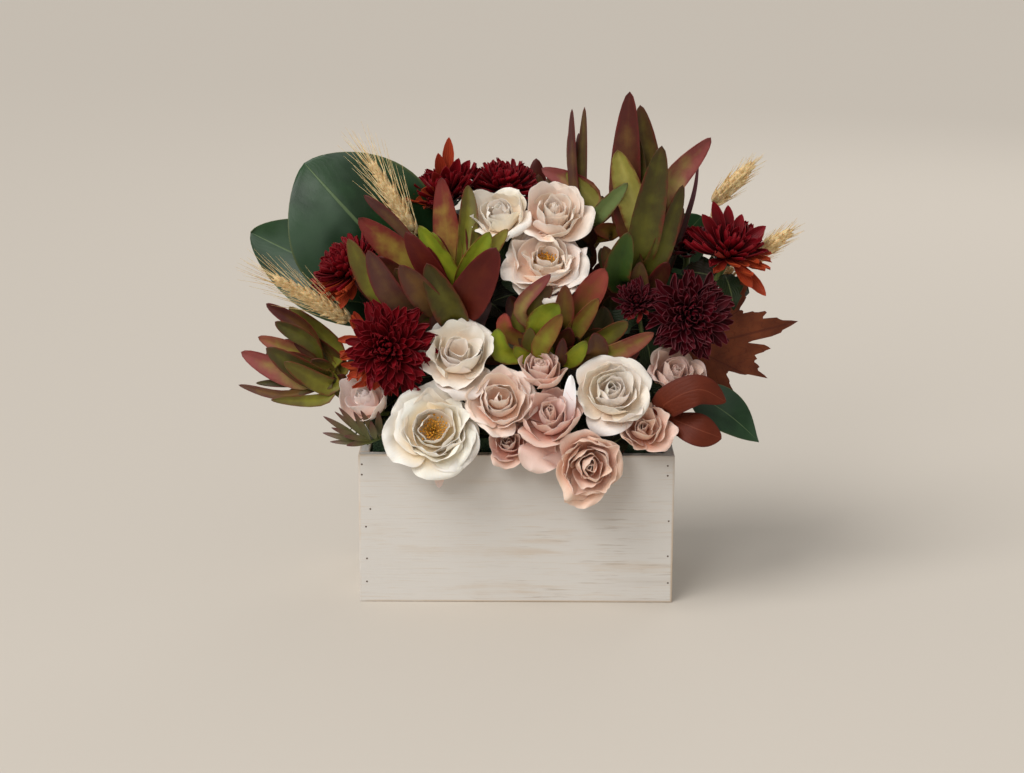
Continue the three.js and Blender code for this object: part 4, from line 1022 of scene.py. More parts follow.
heads = {
    # each leaf: where it grows on the stem, its tip and the foot of its visible part in the photo (pixels,
    # with a depth in mm for the tip), its width in pixels, and its tones; those of the back have no foot
    "leafy-head-left": {
        "stem": ((-46, -6, 138), (-50, -14, 210), (-52, -24, 266)),
        "under": ("maroon", "oliveBrown", "darkRed"),
        "leaves": (
            (1, (441.6, 177.5, -8), (450, 255), 30, "red"), (1, (468, 185, -2), (464, 240), 20, "olive"),
            (0.9, (419, 225.5, -35), (449, 272), 24, "lime"),
            (0.85, (405.7, 232, -45), (438, 278), 25, "darkRed"),
            (0.8, (426.5, 263, -60), (452, 310), 31, "darkOlive"),
            (0.8, (358.5, 217.9, -30), (415, 266), 31, "red"),
            (0.9, (364, 195, -10), (400, 228), 12, "mauve"),
            (0.75, (347.9, 238.7, -48), (388, 298), 23, "olive"),
            (0.7, (367.9, 250, -58), (402, 300), 28, "mauve"),
            (0.7, (400, 265, -68), (432, 305), 29, "tan"),
            (0.85, (496.3, 248, -62), (462, 306), 40, "darkRed"),
            (0.9, (490, 232, -50), (466, 270), 22, "lime"),
            (1, (475.6, 222.8, -18), (472, 258), 13, "olive"),
            (0.95, (507.7, 229, -42), (474, 266), 18, "yellowOlive"),
            (0.8, (436, 300, -40), (446, 332), 24, "mauve"),
            (0.8, (398, 243, -20), (440, 285), 26, "darkRed"),
            (0.8, (380, 290, -50), (420, 312), 26, "darkOlive"),
            (0.75, (480, 285, -40), (462, 318), 24, "maroon"),
            (0.9, (432, 232, -24), (450, 268), 18, "lime"),
            (0.75, (352, 272, -30), (396, 305), 22, "maroon")),
    },
    "leafy-head-tall": {
        "stem": ((66, 4, 138), (84, 6, 210), (102, 0, 278)), "under": ("maroon", "darkOlive", "oliveBrown"),
        "leaves": (
            (1, (630, 91.5, 8), (626, 205), 33, "maroon"),
            (1, (640, 105, 24), (650, 190), 24, "oliveBrown"),
            (1, (617.5, 150, -8), (637, 212), 29, "paleLime"),
            (0.95, (662, 145.8, -22), (640, 245), 33, "darkOlive"),
            (1, (711, 137.6, 16), (660, 190), 26, "pink"),
            (0.95, (683, 185, -14), (654, 258), 23, "darkOlive"),
            (0.85, (629, 232, -32), (617, 276), 27, "green"),
            (0.85, (672, 235, 14), (652, 268), 20, "mauve"),
            (0.8, (668, 262, -18), (650, 290), 20, "maroon"),
            (0.9, (650, 170, 20), (645, 235), 26, "olive"),
            (0.85, (604, 246, -6), (622, 282), 20, "oliveBrown"),
            (0.8, (640, 262, -26), (636, 296), 22, "oliveBrown")),
    },
    "leafy-head-upper-middle": {
        "stem": ((36, 22, 138), (52, 32, 230), (58, 30, 312)), "under": ("mauve", "oliveBrown"),
        "leaves": (
            (1, (572, 109, 32), (578, 190), 11, "mauve"),
            (1, (584.6, 107, 38), (582, 205), 12, "oliveBrown"),
            (0.95, (541.4, 168.4, 34), (594, 194), 21, "pink"),
            (0.95, (566, 172, 28), (597, 206), 20, "paleLime"),
            (0.95, (627.7, 182.8, -16), (592, 221.9), 17, "paleGreen"),
            (0.85, (594, 229, -8), (612, 233), 17, "rust"), (0.9, (603, 196, 50), (590, 225), 20, "mauve"),
            (0.85, (590, 242, 20), (586, 262), 20, "maroon"),
            (0.8, (600, 262, 12), (600, 318), 36, "maroon"),
            (0.7, (610, 296, 4), (604, 336), 34, "darkOlive")),
    },
    "leafy-head-low-left": {
        "stem": ((-108, -26, 138), (-130, -32, 168), (-158, -36, 196)),
        "under": ("maroon", "oliveBrown", "darkOlive"),
        "leaves": (
            (1, (266, 303.6, -26), (308, 330), 16, "maroon"),
            (0.9, (289, 307, -10), (338, 350), 22, "olive"),
            (1, (275, 321.8, -44), (312, 342), 17, "darkOlive"),
            (1, (258, 336.9, -24), (314, 358), 20, "limePink"),
            (0.95, (241, 352, -38), (306, 378), 23, "pink"),
            (0.95, (265.9, 348, -52), (322, 378), 25, "darkOlive"),
            (0.8, (238.5, 385, -46), (290, 394), 9, "tan"),
            (0.85, (270.8, 400, -58), (326, 398), 12, "olive"),
            (0.9, (284, 362, -60), (330, 386), 20, "olive"),
            (0.8, (300, 330, -20), (340, 366), 20, "oliveBrown"),
            (0.75, (318, 372, -46), (346, 392), 16, "darkOlive")),
    },
    "leafy-head-centre": {
        "stem": ((38, -10, 138), (34, -30, 180), (34, -42, 214)),
        # All its leaf tones are darkened by the shade factor: painted shade over the whole head.
        "under": ("darkOlive", "oliveBrown", "maroon"), "shade": 0.9,
        "leaves": (
            (1, (605, 268.6, -50), (577, 312), 29, "coral"),
            (1, (598.6, 298, -62), (571, 334), 19, "limeRed"),
            (0.95, (558.6, 303, -76), (538, 330), 27, "lime"),
            (0.95, (562, 314, -84), (540, 348), 19, "limeRed"),
            (0.9, (497.7, 328, -60), (508, 352), 22, "lime"),
            (0.85, (514, 346, -74), (530, 358), 15, "lime"),
            (0.9, (505, 313, -54), (511, 334), 18, "coral"), (1, (550.5, 274, -66), (520, 312), 14, "pink"),
            (1, (519.5, 299, -50), (521, 334), 15, "olive"),
            (1, (552, 286, -64), (534, 310), 17, "oliveBrown"),
            (1, (565, 285, -66), (563, 318), 20, "rust"), (0.9, (628, 322, -60), (599, 340), 18, "olive"),
            (0.85, (654, 333, -66), (607, 354), 20, "limePink"),
            (0.85, (586, 341, -78), (570, 360), 18, "lime"), (0.85, (594, 333, -72), (594, 356), 23, "tan"),
            (0.8, (490.5, 300.5, -26), (483, 340), 12, "greyMauve"),
            (0.85, (563, 338, -76), (560, 362), 12, "mauve"),
            (0.9, (530, 328, -66), (534, 350), 18, "olive"),
            (0.85, (470, 318, -14), (484, 352), 22, "maroon"),
            (0.85, (640, 348, -46), (604, 366), 20, "maroon"),
            (0.95, (590, 318, -40), (576, 340), 24, "darkOlive"),
            (0.9, (510, 296, -20), (524, 326), 22, "maroon"),
            (0.9, (604, 306, -30), (594, 344), 26, "darkOlive"),
            (0.85, (616, 334, -30), (598, 356), 24, "maroon"),
            (0.85, (606, 324, -14), (590, 350), 30, "green")),
    },
    "leafy-head-back": {
        "stem": ((22, 40, 138), (20, 56, 200), (18, 70, 252)), "under": ("maroon", "oliveBrown"),
        "leaves": (
            (1, (-14, 84, 334), None, 26, "red"), (1, (46, 86, 330), None, 26, "olive"),
            (0.9, (-44, 98, 284), None, 24, "darkRed"), (0.9, (76, 96, 292), None, 26, "oliveBrown"),
            (1, (14, 100, 312), None, 24, "lime"), (1, (16, 76, 352), None, 24, "maroon"),
            (0.85, (-30, 108, 240), None, 22, "olive"), (0.8, (62, 110, 232), None, 22, "red")),
    },
}


def alongStem(stem, share):
    # A point on the bent line through the stem's places.
    places = [point(place) for place in stem]
    lengths = [(b - a).length for a, b in zip(places, places[1:])]
    left = share * sum(lengths)
    for a, b, length in zip(places, places[1:], lengths):
        if left <= length + 1e-9:
            return a.lerp(b, left / length)
        left -= length
    return places[-1]


def footAndStem(stem, radius):
    # The stem with its straight foot, deep in the foam.
    places = [point(place) for place in stem]
    line = [places[0] + upward * height * mm for height in stemLook["foot"]] + places[1:]
    return tube(line, [radius * mm * (1 if index < 3 else 0.85) for index in range(len(line))], 8)


def headLeaf(head, entry, chance):
    # One leaf with the shorter one behind it, whose darker tone is partly a real leaf colour and partly
    # painted shade inside the head.
    share, tip, foot, width, kind = entry
    root = alongStem(head["stem"], share) / mm
    atBack = foot is None
    tip = Vector(tip) if atBack else seen(*tip)
    via = () if atBack else (seen(*foot, mix(root.y, tip.y, 0.6)),)
    outward = Vector((tip.x - root.x, tip.y - root.y, 0)).normalized()
    leaf = {"root": root, "tip": tip, "via": via, "width": width * headLook["pixelSize"],
            "face": outward * 0.6 + Vector((0, 1.4 if atBack else -1.4, 0.2)),
            "peak": chance.uniform(0.58, 0.68), "blunt": 0.56, "bow": chance.uniform(-0.03, 0.08),
            "fold": chance.uniform(0.1, 0.5), "twist": chance.uniform(-0.2, 0.2), "stalk": 0.35,
            "ripple": 0.06, "phase": chance.uniform(0, 6)}
    behind = Vector((chance.uniform(-10, 10), -7 if atBack else 7, chance.uniform(-8, 4)))
    under = {**leaf, "root": alongStem(head["stem"], share * 0.92) / mm, "via": (),
             "tip": root.lerp(tip, chance.uniform(0.66, 0.84)) + behind, "width": leaf["width"] * 0.95}
    # The leaf behind takes one of the head's darker tones: painted shade inside the head as well as leaf
    # colour.
    for form, kind in ((leaf, kind), (under, chance.choice(head["under"]))):
        # A head's shade factor darkens all its leaf tones: painted shade on the whole head.
        shade = head.get("shade", 1.0)
        rootTone, tipTone = (colour(*(part * shade for part in tone)) for tone in leafTones[kind])
        yield shaped(leafPattern, leafForm(form), {"rootTone": rootTone, "tipTone": tipTone})


for name, head in heads.items():
    chance = random.Random(name)
    stem = footAndStem(head["stem"], stemLook["radius"])
    leaves = [leaf for entry in head["leaves"] for leaf in headLeaf(head, entry, chance)]
    sprayOf(name, leaves, headLeafFinish, headLook["thickness"], [stem], brownStem, "head_leaf")
print("leafy heads done")


# The broad glossy leaves and the copper leaves.
# The lightest tone here paints soft reflections of the lamps on the glossy leaf.
glossyLook = {"deep": colour(18, 44, 20), "light": colour(34, 64, 34), "paintedGloss": colour(74, 94, 76),
              "vein": colour(50, 76, 46), "midrib": colour(96, 116, 76), "rim": colour(98, 104, 60),
              "thickness": 1.2 * mm}
copperLook = {"base": colour(92, 38, 22), "rim": colour(84, 34, 24), "midrib": colour(140, 76, 54),
              "thickness": 0.9 * mm}
broadLeaf = {"peak": 0.5, "blunt": 0.62, "bow": 0.1, "fold": 0.16, "ripple": 0.05, "waves": 3.5,
             "stalk": 0.06}

broadLeaves = {
    "broad-leaves-left": {
        "stem": ((-62, 40, 138), (-74, 50, 196), (-82, 52, 244)),
        "leaves": (
            {"root": (-82, 52, 244), "tip": (-180, 48, 351), "width": 128, "face": (-0.1, -0.95, 0.2)},
            {"root": (-80, 52, 222), "tip": (-228, 58, 290), "width": 80, "face": (0.25, -0.95, 0.02)},
            {"root": (-65, 42, 152), "tip": (-146, 82, 146), "width": 52, "face": (-0.3, 0.6, 0.8)}),
    },
    "broad-leaf-right": {
        "stem": ((110, -18, 138), (128, -18, 164), (142, -20, 172)),
        "leaves": ({"root": (142, -20, 172), "tip": (202, -30, 130), "width": 40, "face": (0.3, -0.8, 0.5),
                    "blunt": 0.95, "peak": 0.42},),
    },
    "broad-leaves-back": {
        "stem": ((70, 38, 138), (82, 56, 180), (84, 64, 214)),
        "leaves": (
            {"root": (84, 64, 213), "tip": (160, 92, 300), "width": 70, "face": (0.3, 0.9, 0.3)},
            {"root": (83, 58, 186), "tip": (176, 84, 192), "width": 56, "face": (0.3, 0.8, 0.5)},
            {"root": (79, 51, 166), "tip": (126, 94, 122), "width": 46, "face": (0.3, 0.8, 0.6)}),
    },
}
copperLeaves = {
    "stem": ((116, -40, 138), (124, -58, 150), (124, -68, 165)),
    "leaves": (
        {"root": (124, -67, 165), "via": ((121, -76, 174), (146, -82, 187)), "tip": (169, -80, 177),
         "width": 27, "face": (0.0, -0.9, 0.35), "peak": 0.52, "fold": -0.12},
        {"root": (124, -68, 160), "via": ((146, -80, 153),), "tip": (166, -82, 147), "width": 27,
         "face": (0.1, -0.9, 0.4), "peak": 0.5, "fold": -0.1}),
}


def glossyLeafMaterial():
    bench = Finish("glossy dark leaf", 0.3, 0.3)
    place = bench.objectPlace()
    sheet = bench.sheet(6.0, 16.0)
    shade = bench.blend(bench.between(bench.noise(place, 26.0, 3.0), 0.35, 0.65), glossyLook["deep"],
                        glossyLook["light"])
    # Soft lighter patches over the leaf: painted reflections, standing in for the gloss highlights.
    paintedGloss = bench.between(bench.noise(place, 17.0, 2.0), 0.42, 0.66)
    shade = bench.layer(shade, paintedGloss, 0.5, glossyLook["paintedGloss"])
    shade = bench.layer(shade, bench.between(sheet["Ribs"], 0.2, 0.0), 0.12, glossyLook["vein"])
    midrib = bench.between(sheet["Side"], 0.03, 0.014)
    shade = bench.layer(shade, midrib, 0.7, glossyLook["midrib"])
    shade = bench.layer(shade, bench.between(sheet["Side"], 0.96, 1.0), 0.6, glossyLook["rim"])
    patch = bench.noise(place, 45.0, 4.0)
    height = bench.plus(bench.times(sheet["Ribs"], 0.07), bench.times(patch, 0.1))
    rough = bench.plus(bench.times(patch, 0.2), 0.24)
    return bench.done(shade, bench.minus(height, midrib), 0.25, 0.0012, rough)


def copperLeafMaterial():
    bench = Finish("copper leaf", 0.5, 0.12)
    sheet = bench.sheet(4.0, 6.0)
    patches = bench.mottle(copperLook["base"], 90.0, 0.5)
    shade = bench.blend(bench.between(sheet["Side"], 0.8, 1.0), patches["Colour"], copperLook["rim"])
    shade = bench.layer(shade, bench.between(sheet["Side"], 0.05, 0.01), 0.3, copperLook["midrib"])
    return bench.done(shade, bench.plus(bench.times(sheet["Ribs"], 0.4), patches["Patch"]), 0.3, 0.0008)


broadPattern = flatPattern(12, 26)


def broadSpray(name, spray, leafFinish, thickness, stemFinish, slotName):
    stem = footAndStem(spray["stem"], stemLook["radius"])
    leaves = [shaped(broadPattern, leafForm({**broadLeaf, "phase": index * 1.7, **leaf}))
              for index, leaf in enumerate(spray["leaves"])]
    sprayOf(name, leaves, leafFinish, thickness, [stem], stemFinish, slotName)


glossyFinish = glossyLeafMaterial()
for name, spray in broadLeaves.items():
    broadSpray(name, spray, glossyFinish, glossyLook["thickness"], greenStem, "glossy_leaf")
broadSpray("copper-leaves", copperLeaves, copperLeafMaterial(), copperLook["thickness"], brownStem,
           "copper_leaf")
print("broad leaves done")


# The wheat.
wheatLook = {
    "straw": colour(236, 210, 160), "shade": colour(200, 166, 112),
    "rows": 36, "spikelet": 16.5,  # of an ear, and the length of one spikelet
    "strawRadius": 1.2, "neckRadius": 0.6, "footHeight": 96,
    "awnGirth": 18,  # the awn's pattern, 0.034 across at its foot, is drawn this wide
}
wheat = {
    "wheat-left-upper": {"foot": (-60, 22), "awns": 48, "ears": (
        {"via": ((-66, 12, 250),), "from": (-85, 6, 297), "to": (-122, 10, 359)},)},
    "wheat-left-lower": {"foot": (-90, 10), "awns": 46, "ears": (
        {"via": ((-108, -12, 204),), "from": (-138, -22, 230), "to": (-200, -42, 271)},)},
    "wheat-right": {"foot": (108, 42), "awns": 16, "ears": (
        {"via": ((142, 58, 206), (173, 56, 262)), "from": (166, 56, 316), "to": (201, 54, 353)},
        {"via": ((150, 56, 214),), "from": (193, 32, 270), "to": (232, 26, 300)},
        {"via": ((132, 42, 200),), "from": (157, 29, 250), "to": (183, 27, 268)})},
}


def wheatMaterial():
    bench = Finish("dry wheat", 0.55, glow=(0.12, 0.002))
    place = bench.objectPlace()
    shade = bench.blend(bench.between(bench.noise(place, 260.0, 3.0), 0.35, 0.65), wheatLook["shade"],
                        wheatLook["straw"])
    return bench.done(shade, bench.noise(place, 700.0, 2.0), 0.3, 0.0004)


def spikeletPattern():
    # Three plump husks side by side, each with a drawn-out point; one unit long.
    husks = []
    for tilt, size in ((-20, 0.86), (20, 0.86), (0, 1.0)):
        husk = added(bpy.ops.mesh.primitive_uv_sphere_add, segments=6, ring_count=6, radius=0.5)
        for vertex in husk.data.vertices:
            share = vertex.co.z + 0.5
            girth = 0.24 * math.sin(math.pi * share ** 0.7) * (1 - 0.5 * share)
            flat = Vector((vertex.co.x, vertex.co.y, 0))
            if flat.length > 1e-6:
                flat = flat.normalized() * girth
            vertex.co = Vector((flat.x, flat.y * 0.85, share)) * size
        husk.data.transform(Matrix.Rotation(math.radians(tilt), 4, "Y"))
        husks.append(husk)
    return joined(husks, "spikelet-pattern")


def awnPattern():
    awn = added(bpy.ops.mesh.primitive_cone_add, vertices=3, radius1=0.017, radius2=0.005, depth=1,
                location=(0, 0, 0.5))
    bpy.ops.object.transform_apply()
    return awn


def wheatEar(start, end, awnLength, chance):
    axis = end - start
    length = axis.length
    axis.normalize()
    side = axis.cross(Vector((0, -1, 0.01))).normalized()
    front = side.cross(axis).normalized()
    pieces = []
    for index in range(wheatLook["rows"]):
        share = index / (wheatLook["rows"] - 1)
        turn = math.radians((0, 180, 90, 270)[index % 4]) + chance.uniform(-0.2, 0.2)
        out = side * math.cos(turn) + front * math.sin(turn)
        size = wheatLook["spikelet"] * mm * mix(0.86, 1.0, math.sin(math.pi * share))
        size *= mix(1, 0.75, share ** 4)
        root = start + axis * (share * (length - size * 0.9)) + out * 0.8 * mm
        lean = math.radians(mix(29, 14, share) + chance.uniform(-4, 4))
        along = axis * math.cos(lean) + out * math.sin(lean)
        stand = aimed(root, along, turn + math.radians(90))
        pieces.append(copyOf(spikeletShape, stand @ Matrix.Scale(size, 4)))
        for _ in range(2):
            tip = root + along * size * 0.95
            lean = math.radians(chance.uniform(6, 22))
            away = (out + side * chance.uniform(-0.6, 0.6)).normalized()
            stand = aimed(tip - along * 1.5 * mm, axis * math.cos(lean) + away * math.sin(lean))
            reach = awnLength * mm * chance.uniform(0.7, 1.0) * mix(1, 0.8, share)
            girth = wheatLook["awnGirth"] * mm
            pieces.append(copyOf(awnShape, stand @ Matrix.Diagonal((girth, girth, reach, 1))))
    return pieces


spikeletShape = spikeletPattern()
awnShape = awnPattern()
wheatFinish = wheatMaterial()
for name, bunch in wheat.items():
    chance = random.Random(len(name))
    low = Vector((*bunch["foot"], wheatLook["footHeight"])) * mm
    pieces = []
    for ear in bunch["ears"]:
        start, end = point(ear["from"]), point(ear["to"])
        knots = [low, low + upward * 38 * mm, low + upward * 50 * mm, *map(point, ear["via"]),
                 start.lerp(end, -0.12), start.lerp(end, 0.1), start.lerp(end, 0.9)]
        radii = [wheatLook["strawRadius"] * mm] * (len(knots) - 1) + [wheatLook["neckRadius"] * mm]
        pieces += [tube(knots, radii), *wheatEar(start, end, bunch["awns"], chance)]
    whole = joined(pieces, name + "-ears")
    softShade(whole, 60)
    settle(whole, wheatFinish, "wheat_straw", name)
print("wheat done")


# The lobed leaf.
lobedLook = {
    "at": (146, 4, 203), "size": 93, "turn": 13, "foot": (113, 6, 96), "via": (130, 6, 178),
    "bow": 9, "ripple": 4,  # how far it bends backward toward its rim, and the waves on it, in mm
    "base": (colour(92, 42, 22), colour(122, 62, 34)), "vein": colour(80, 34, 22),
    "veins": (0, -26, 40, -104, 94),  # directions of the main ones, in degrees
    "thickness": 0.7 * mm, "stalk": 1.5 * mm,
}
lobedOutline = (  # degrees from the longest lobe, upward, and how far out the rim is
    (-180, 0.05), (-130, 0.15), (-102, 0.3), (-94, 0.5), (-84, 0.44), (-70, 0.34), (-58, 0.4), (-50, 0.52),
    (-43, 0.68), (-40, 0.84), (-36, 0.76), (-30, 0.66), (-25, 0.55), (-21, 0.58), (-16, 0.66), (-14, 0.76),
    (-10, 0.7), (-6, 0.8), (-3, 0.88), (0, 1.0), (3, 0.86), (5, 0.82), (8, 0.52), (10, 0.56), (13, 0.7),
    (15, 0.76), (17, 0.66), (22, 0.6), (27, 0.62), (33, 0.68), (36, 0.76), (39, 0.6), (46, 0.4), (52, 0.44),
    (62, 0.62), (70, 0.5), (80, 0.36), (95, 0.42), (105, 0.5), (112, 0.3), (140, 0.14), (180, 0.05))


def rimAt(degrees):
    for (a, low), (b, high) in zip(lobedOutline, lobedOutline[1:]):
        if degrees <= b:
            tooth = abs(degrees * 0.17 % 1 - 0.5) - 0.25
            return mix(low, high, (degrees - a) / (b - a)) * (1 + 0.16 * tooth * smooth(abs(degrees) / 8))
    return lobedOutline[-1][1]


def lobedMaterial():
    bench = Finish("rust lobed leaf", 0.6, 0.2, (0.1, 0.002))
    place = bench.objectPlace()
    across, along = bench.acrossAlong()
    turn = bench.times(bench.minus(across, 0.5), 2 * math.pi)
    nearest = None
    for lobe in lobedLook["veins"]:
        offset = bench.minus(turn, math.radians(lobe))
        distance = bench.times(bench.math("ABSOLUTE", bench.math("SINE", offset)), along)
        distance = bench.plus(distance, bench.math("LESS_THAN", bench.math("COSINE", offset), 0.0))
        nearest = distance if nearest is None else bench.math("MINIMUM", nearest, distance)
    wander = bench.times(bench.noise(place, 120.0, 2.0), 0.9)
    course = bench.times(bench.minus(along, bench.times(nearest, 1.4)), 46.0)
    fine = bench.times(bench.between(bench.math("SINE", bench.plus(course, wander)), 0.86, 1.0), 0.5)
    vein = bench.math("MAXIMUM", bench.between(nearest, 0.016, 0.006), fine)
    shade = bench.blend(bench.between(bench.noise(place, 50.0, 4.0), 0.3, 0.7), *lobedLook["base"])
    shade = bench.layer(shade, vein, 0.6, lobedLook["vein"])
    return bench.done(shade, bench.minus(bench.noise(place, 160.0, 3.0), vein), 0.4, 0.0008)


def lobedForm(x, y):
    degrees = x * 180
    reach = rimAt(degrees) * (y + 1) / 2
    size = lobedLook["size"] * mm
    turn = math.radians(lobedLook["turn"] - degrees)
    bow = lobedLook["bow"] * mm * reach ** 2
    bow += lobedLook["ripple"] * mm * reach * math.sin(math.radians(degrees * 4.2))
    return point(lobedLook["at"]) + Vector((reach * size * math.cos(turn), bow,
                                            reach * size * math.sin(turn)))


lobedPattern = flatPattern(240, 12, 1)
low = point(lobedLook["foot"])
stalk = tube([low, low + upward * 36 * mm, low + upward * 48 * mm, point(lobedLook["via"]),
              point(lobedLook["at"])], [lobedLook["stalk"]] * 5)
sprayOf("lobed-leaf", [shaped(lobedPattern, lobedForm)], lobedMaterial(), lobedLook["thickness"], [stalk],
        brownStem, "rust_leaf", rimShare=1)
print("lobed leaf done")


# The narrow sprig and the long blade.
sprigLook = {
    "root": colour(92, 92, 48), "tip": colour(88, 44, 38), "thickness": 0.7 * mm, "stemRadius": 1.5,
    "stem": ((-98, -42, 138), (-104, -60, 144), (-122, -74, 139)),
    "leaves": (  # where on the stem, the tip and the width
        (1, (-158, -74, 148), 5), (1, (-157, -78, 163), 5), (0.95, (-150, -84, 155), 5),
        (0.8, (-118, -82, 160), 6), (0.9, (-132, -82, 168), 5), (0.95, (-144, -80, 171), 5),
        (0.85, (-138, -84, 140), 5), (1, (-152, -76, 141), 4), (0.7, (-112, -80, 168), 6),
        (0.75, (-126, -86, 170), 5), (0.6, (-108, -84, 150), 6), (0.9, (-148, -74, 166), 4),
        (0.85, (-140, -84, 148), 5)),
}
bladeLook = {
    "path": ((92, 30, 138), (112, 22, 220), (127, 17, 267), (141, 20, 309), (148, 22, 335), (151, 25, 363)),
    "width": 5.5, "root": colour(66, 56, 40), "tip": colour(86, 50, 56),
    "foot": (92, 30, 96), "thickness": 0.9 * mm, "stalk": 1.6 * mm,
}


def sprigMaterial():
    bench = Finish("narrow sprig leaf", 0.5)
    shade = bench.blend(bench.between(bench.sheet(2.0, 2.0)["Along"], 0.3, 0.95), sprigLook["root"],
                        sprigLook["tip"])
    patches = bench.mottle(shade, 200.0, 0.4)
    return bench.done(patches["Colour"], patches["Patch"], 0.2, 0.0005)


def bladeForm(x, y):
    share = (y + 1) / 2
    place, along = pathPoint(bladeLook["path"], share)
    side = along.cross(Vector((0, -1, 0))).normalized()
    half = bladeLook["width"] * mm / 2 * (1 - share ** 3) ** 0.7 * mix(0.75, 1, smooth(share * 3))
    return place + side * x * half + Vector((0, -1, 0)) * abs(x) * half * 0.5


stem = footAndStem(sprigLook["stem"], sprigLook["stemRadius"])
leaves = [
    shaped(leafPattern, leafForm({"root": alongStem(sprigLook["stem"], share) / mm, "tip": tip,
                                  "width": width, "face": (0, -1, 0.4), "bow": 0.06, "fold": 0.3}))
    for share, tip, width in sprigLook["leaves"]]
sprayOf("narrow-sprig", leaves, sprigMaterial(), sprigLook["thickness"], [stem], greenStem, "sprig_leaf")

bladePattern = flatPattern(4, 40)
blade = shaped(bladePattern, bladeForm, {"rootTone": bladeLook["root"], "tipTone": bladeLook["tip"]})
low = point(bladeLook["foot"])
stalk = tube([low, low + upward * 20 * mm, low + upward * 43 * mm], [bladeLook["stalk"]] * 3)
sprayOf("long-blade", [blade], headLeafFinish, bladeLook["thickness"], [stalk], brownStem, "grass_leaf",
        "grass-blade")
print("sprig and blade done")


# The stems of the blooms, with their small leaves.
sprays = {  # where a stem stands and forks, what it carries, and the tips of its low leaves over the rim
    "rose-stems-left": {"foot": (-70, -26), "fork": (-72, -32, 162),
                        "blooms": ("rose-white-open", "rose-blush-left", "rose-pale-left")},
    "rose-stems-middle": {"foot": (6, -32), "fork": (8, -40, 148),
                          "blooms": ("rose-blush-cup", "rose-mauve-bud", "rose-mauve-low",
                                     "rose-small-mauve")},
    "rose-stems-right": {"foot": (84, -32), "fork": (86, -38, 148),
                         "blooms": ("rose-cream-full", "rose-peach-drooping", "rose-taupe",
                                    "rose-pale-right")},
    "rose-stems-top": {"foot": (6, 8), "fork": (8, 12, 236),
                       "blooms": ("rose-cream-top", "rose-blush-top", "rose-open-top")},
    "rose-stems-back": {"foot": (-6, 34), "fork": (-6, 40, 150),
                        "blooms": ("rose-cream-back", "rose-blush-back"),
                        "skirt": ((-54, 74, 134), (-32, 84, 128), (-8, 86, 126), (18, 84, 128),
                                  (44, 80, 132))},
    "mum-stems-left": {"foot": (-100, -10), "fork": (-106, -12, 176),
                       "blooms": ("mum-left-front", "mum-left-upper"),
                       "skirt": ((-140, -10, 134), (-138, 16, 130), (-134, -36, 136))},
    "mum-stems-top": {"foot": (-32, 26), "fork": (-34, 34, 236), "blooms": ("mum-top-right", "mum-top-left")},
    "mum-stems-right": {"foot": (100, 24), "fork": (122, 26, 210),
                        "blooms": ("mum-right-upper", "mum-right-behind"),
                        "skirt": ((138, 16, 132), (134, 46, 130), (108, 78, 134), (82, 80, 128))},
    "mum-stems-low-right": {"foot": (98, -8), "fork": (112, -8, 190),
                            "blooms": ("mum-right-front", "mum-half-open"),
                            "skirt": ((138, -22, 134), (136, -2, 128))},
    "mum-stem-back": {"foot": (-84, 34), "fork": (-88, 42, 160), "blooms": ("mum-back",),
                      "skirt": ((-132, 54, 132), (-112, 76, 130), (-88, 82, 126), (-66, 80, 132))},
}
stemKinds = {
    "rose": {"sunk": 0.06, "radius": 1.6, "neck": 2.2, "sepals": 5, "sepalLength": 0.6,
             "leaf": {"slim": 0.62, "teeth": 9, "bite": 0.1}},
    "mum": {"sunk": 0.2, "radius": 2.0, "neck": 1.6, "sepals": 8, "sepalLength": 0.36,
            "leaf": {"slim": 0.55, "teeth": 4, "bite": 0.45}},
}
stemLeaf = {"peak": 0.42, "blunt": 0.75, "bow": 0.12, "fold": 0.2, "hook": -0.25, "stalk": 0.05,
            "ripple": 0.1}
sepalLeaf = {"peak": 0.35, "blunt": 0.9, "bow": 0.16, "fold": -0.1, "stalk": 0.5}
skirtLeaf = {"peak": 0.45, "blunt": 0.75, "bow": 0.22, "fold": 0.25, "stalk": 0.06, "ripple": 0.12}
fillerLook = {
    "vein": colour(92, 108, 66), "midrib": colour(120, 130, 84), "sepal": colour(62, 78, 38),
    "thickness": 0.6 * mm,
    "footHeight": 94,  # of the stems, in the foam
    "rimHeight": 138,  # where the low leaves start
    "spacing": 13,  # of the small leaves along a stem
    "size": (30, 46),  # of the small leaves
    "clearOfBoard": (-50, 146),  # leaf tips further forward than the first stay above the second
}
# The small stem leaves are real foliage, but these very dark tones also paint the shade in the gaps between
# the blooms.
shadeFillerTones = ((22, 30, 14), (30, 42, 18), (34, 46, 22), (40, 32, 18), (28, 26, 14))


def fillerMaterial():
    bench = Finish("dark green leaf", 0.5, 0.2, (0.05, 0.002))
    sheet = bench.sheet(5.0, 8.0)
    patches = bench.mottle(bench.tone("leafTone"), 120.0, 0.5)
    shade = bench.layer(patches["Colour"], bench.between(sheet["Ribs"], 0.3, 0.0), 0.2, fillerLook["vein"])
    shade = bench.layer(shade, bench.between(sheet["Side"], 0.08, 0.02), 0.5, fillerLook["midrib"])
    return bench.done(shade, bench.plus(bench.times(sheet["Ribs"], 0.8), patches["Patch"]), 0.4, 0.0008)


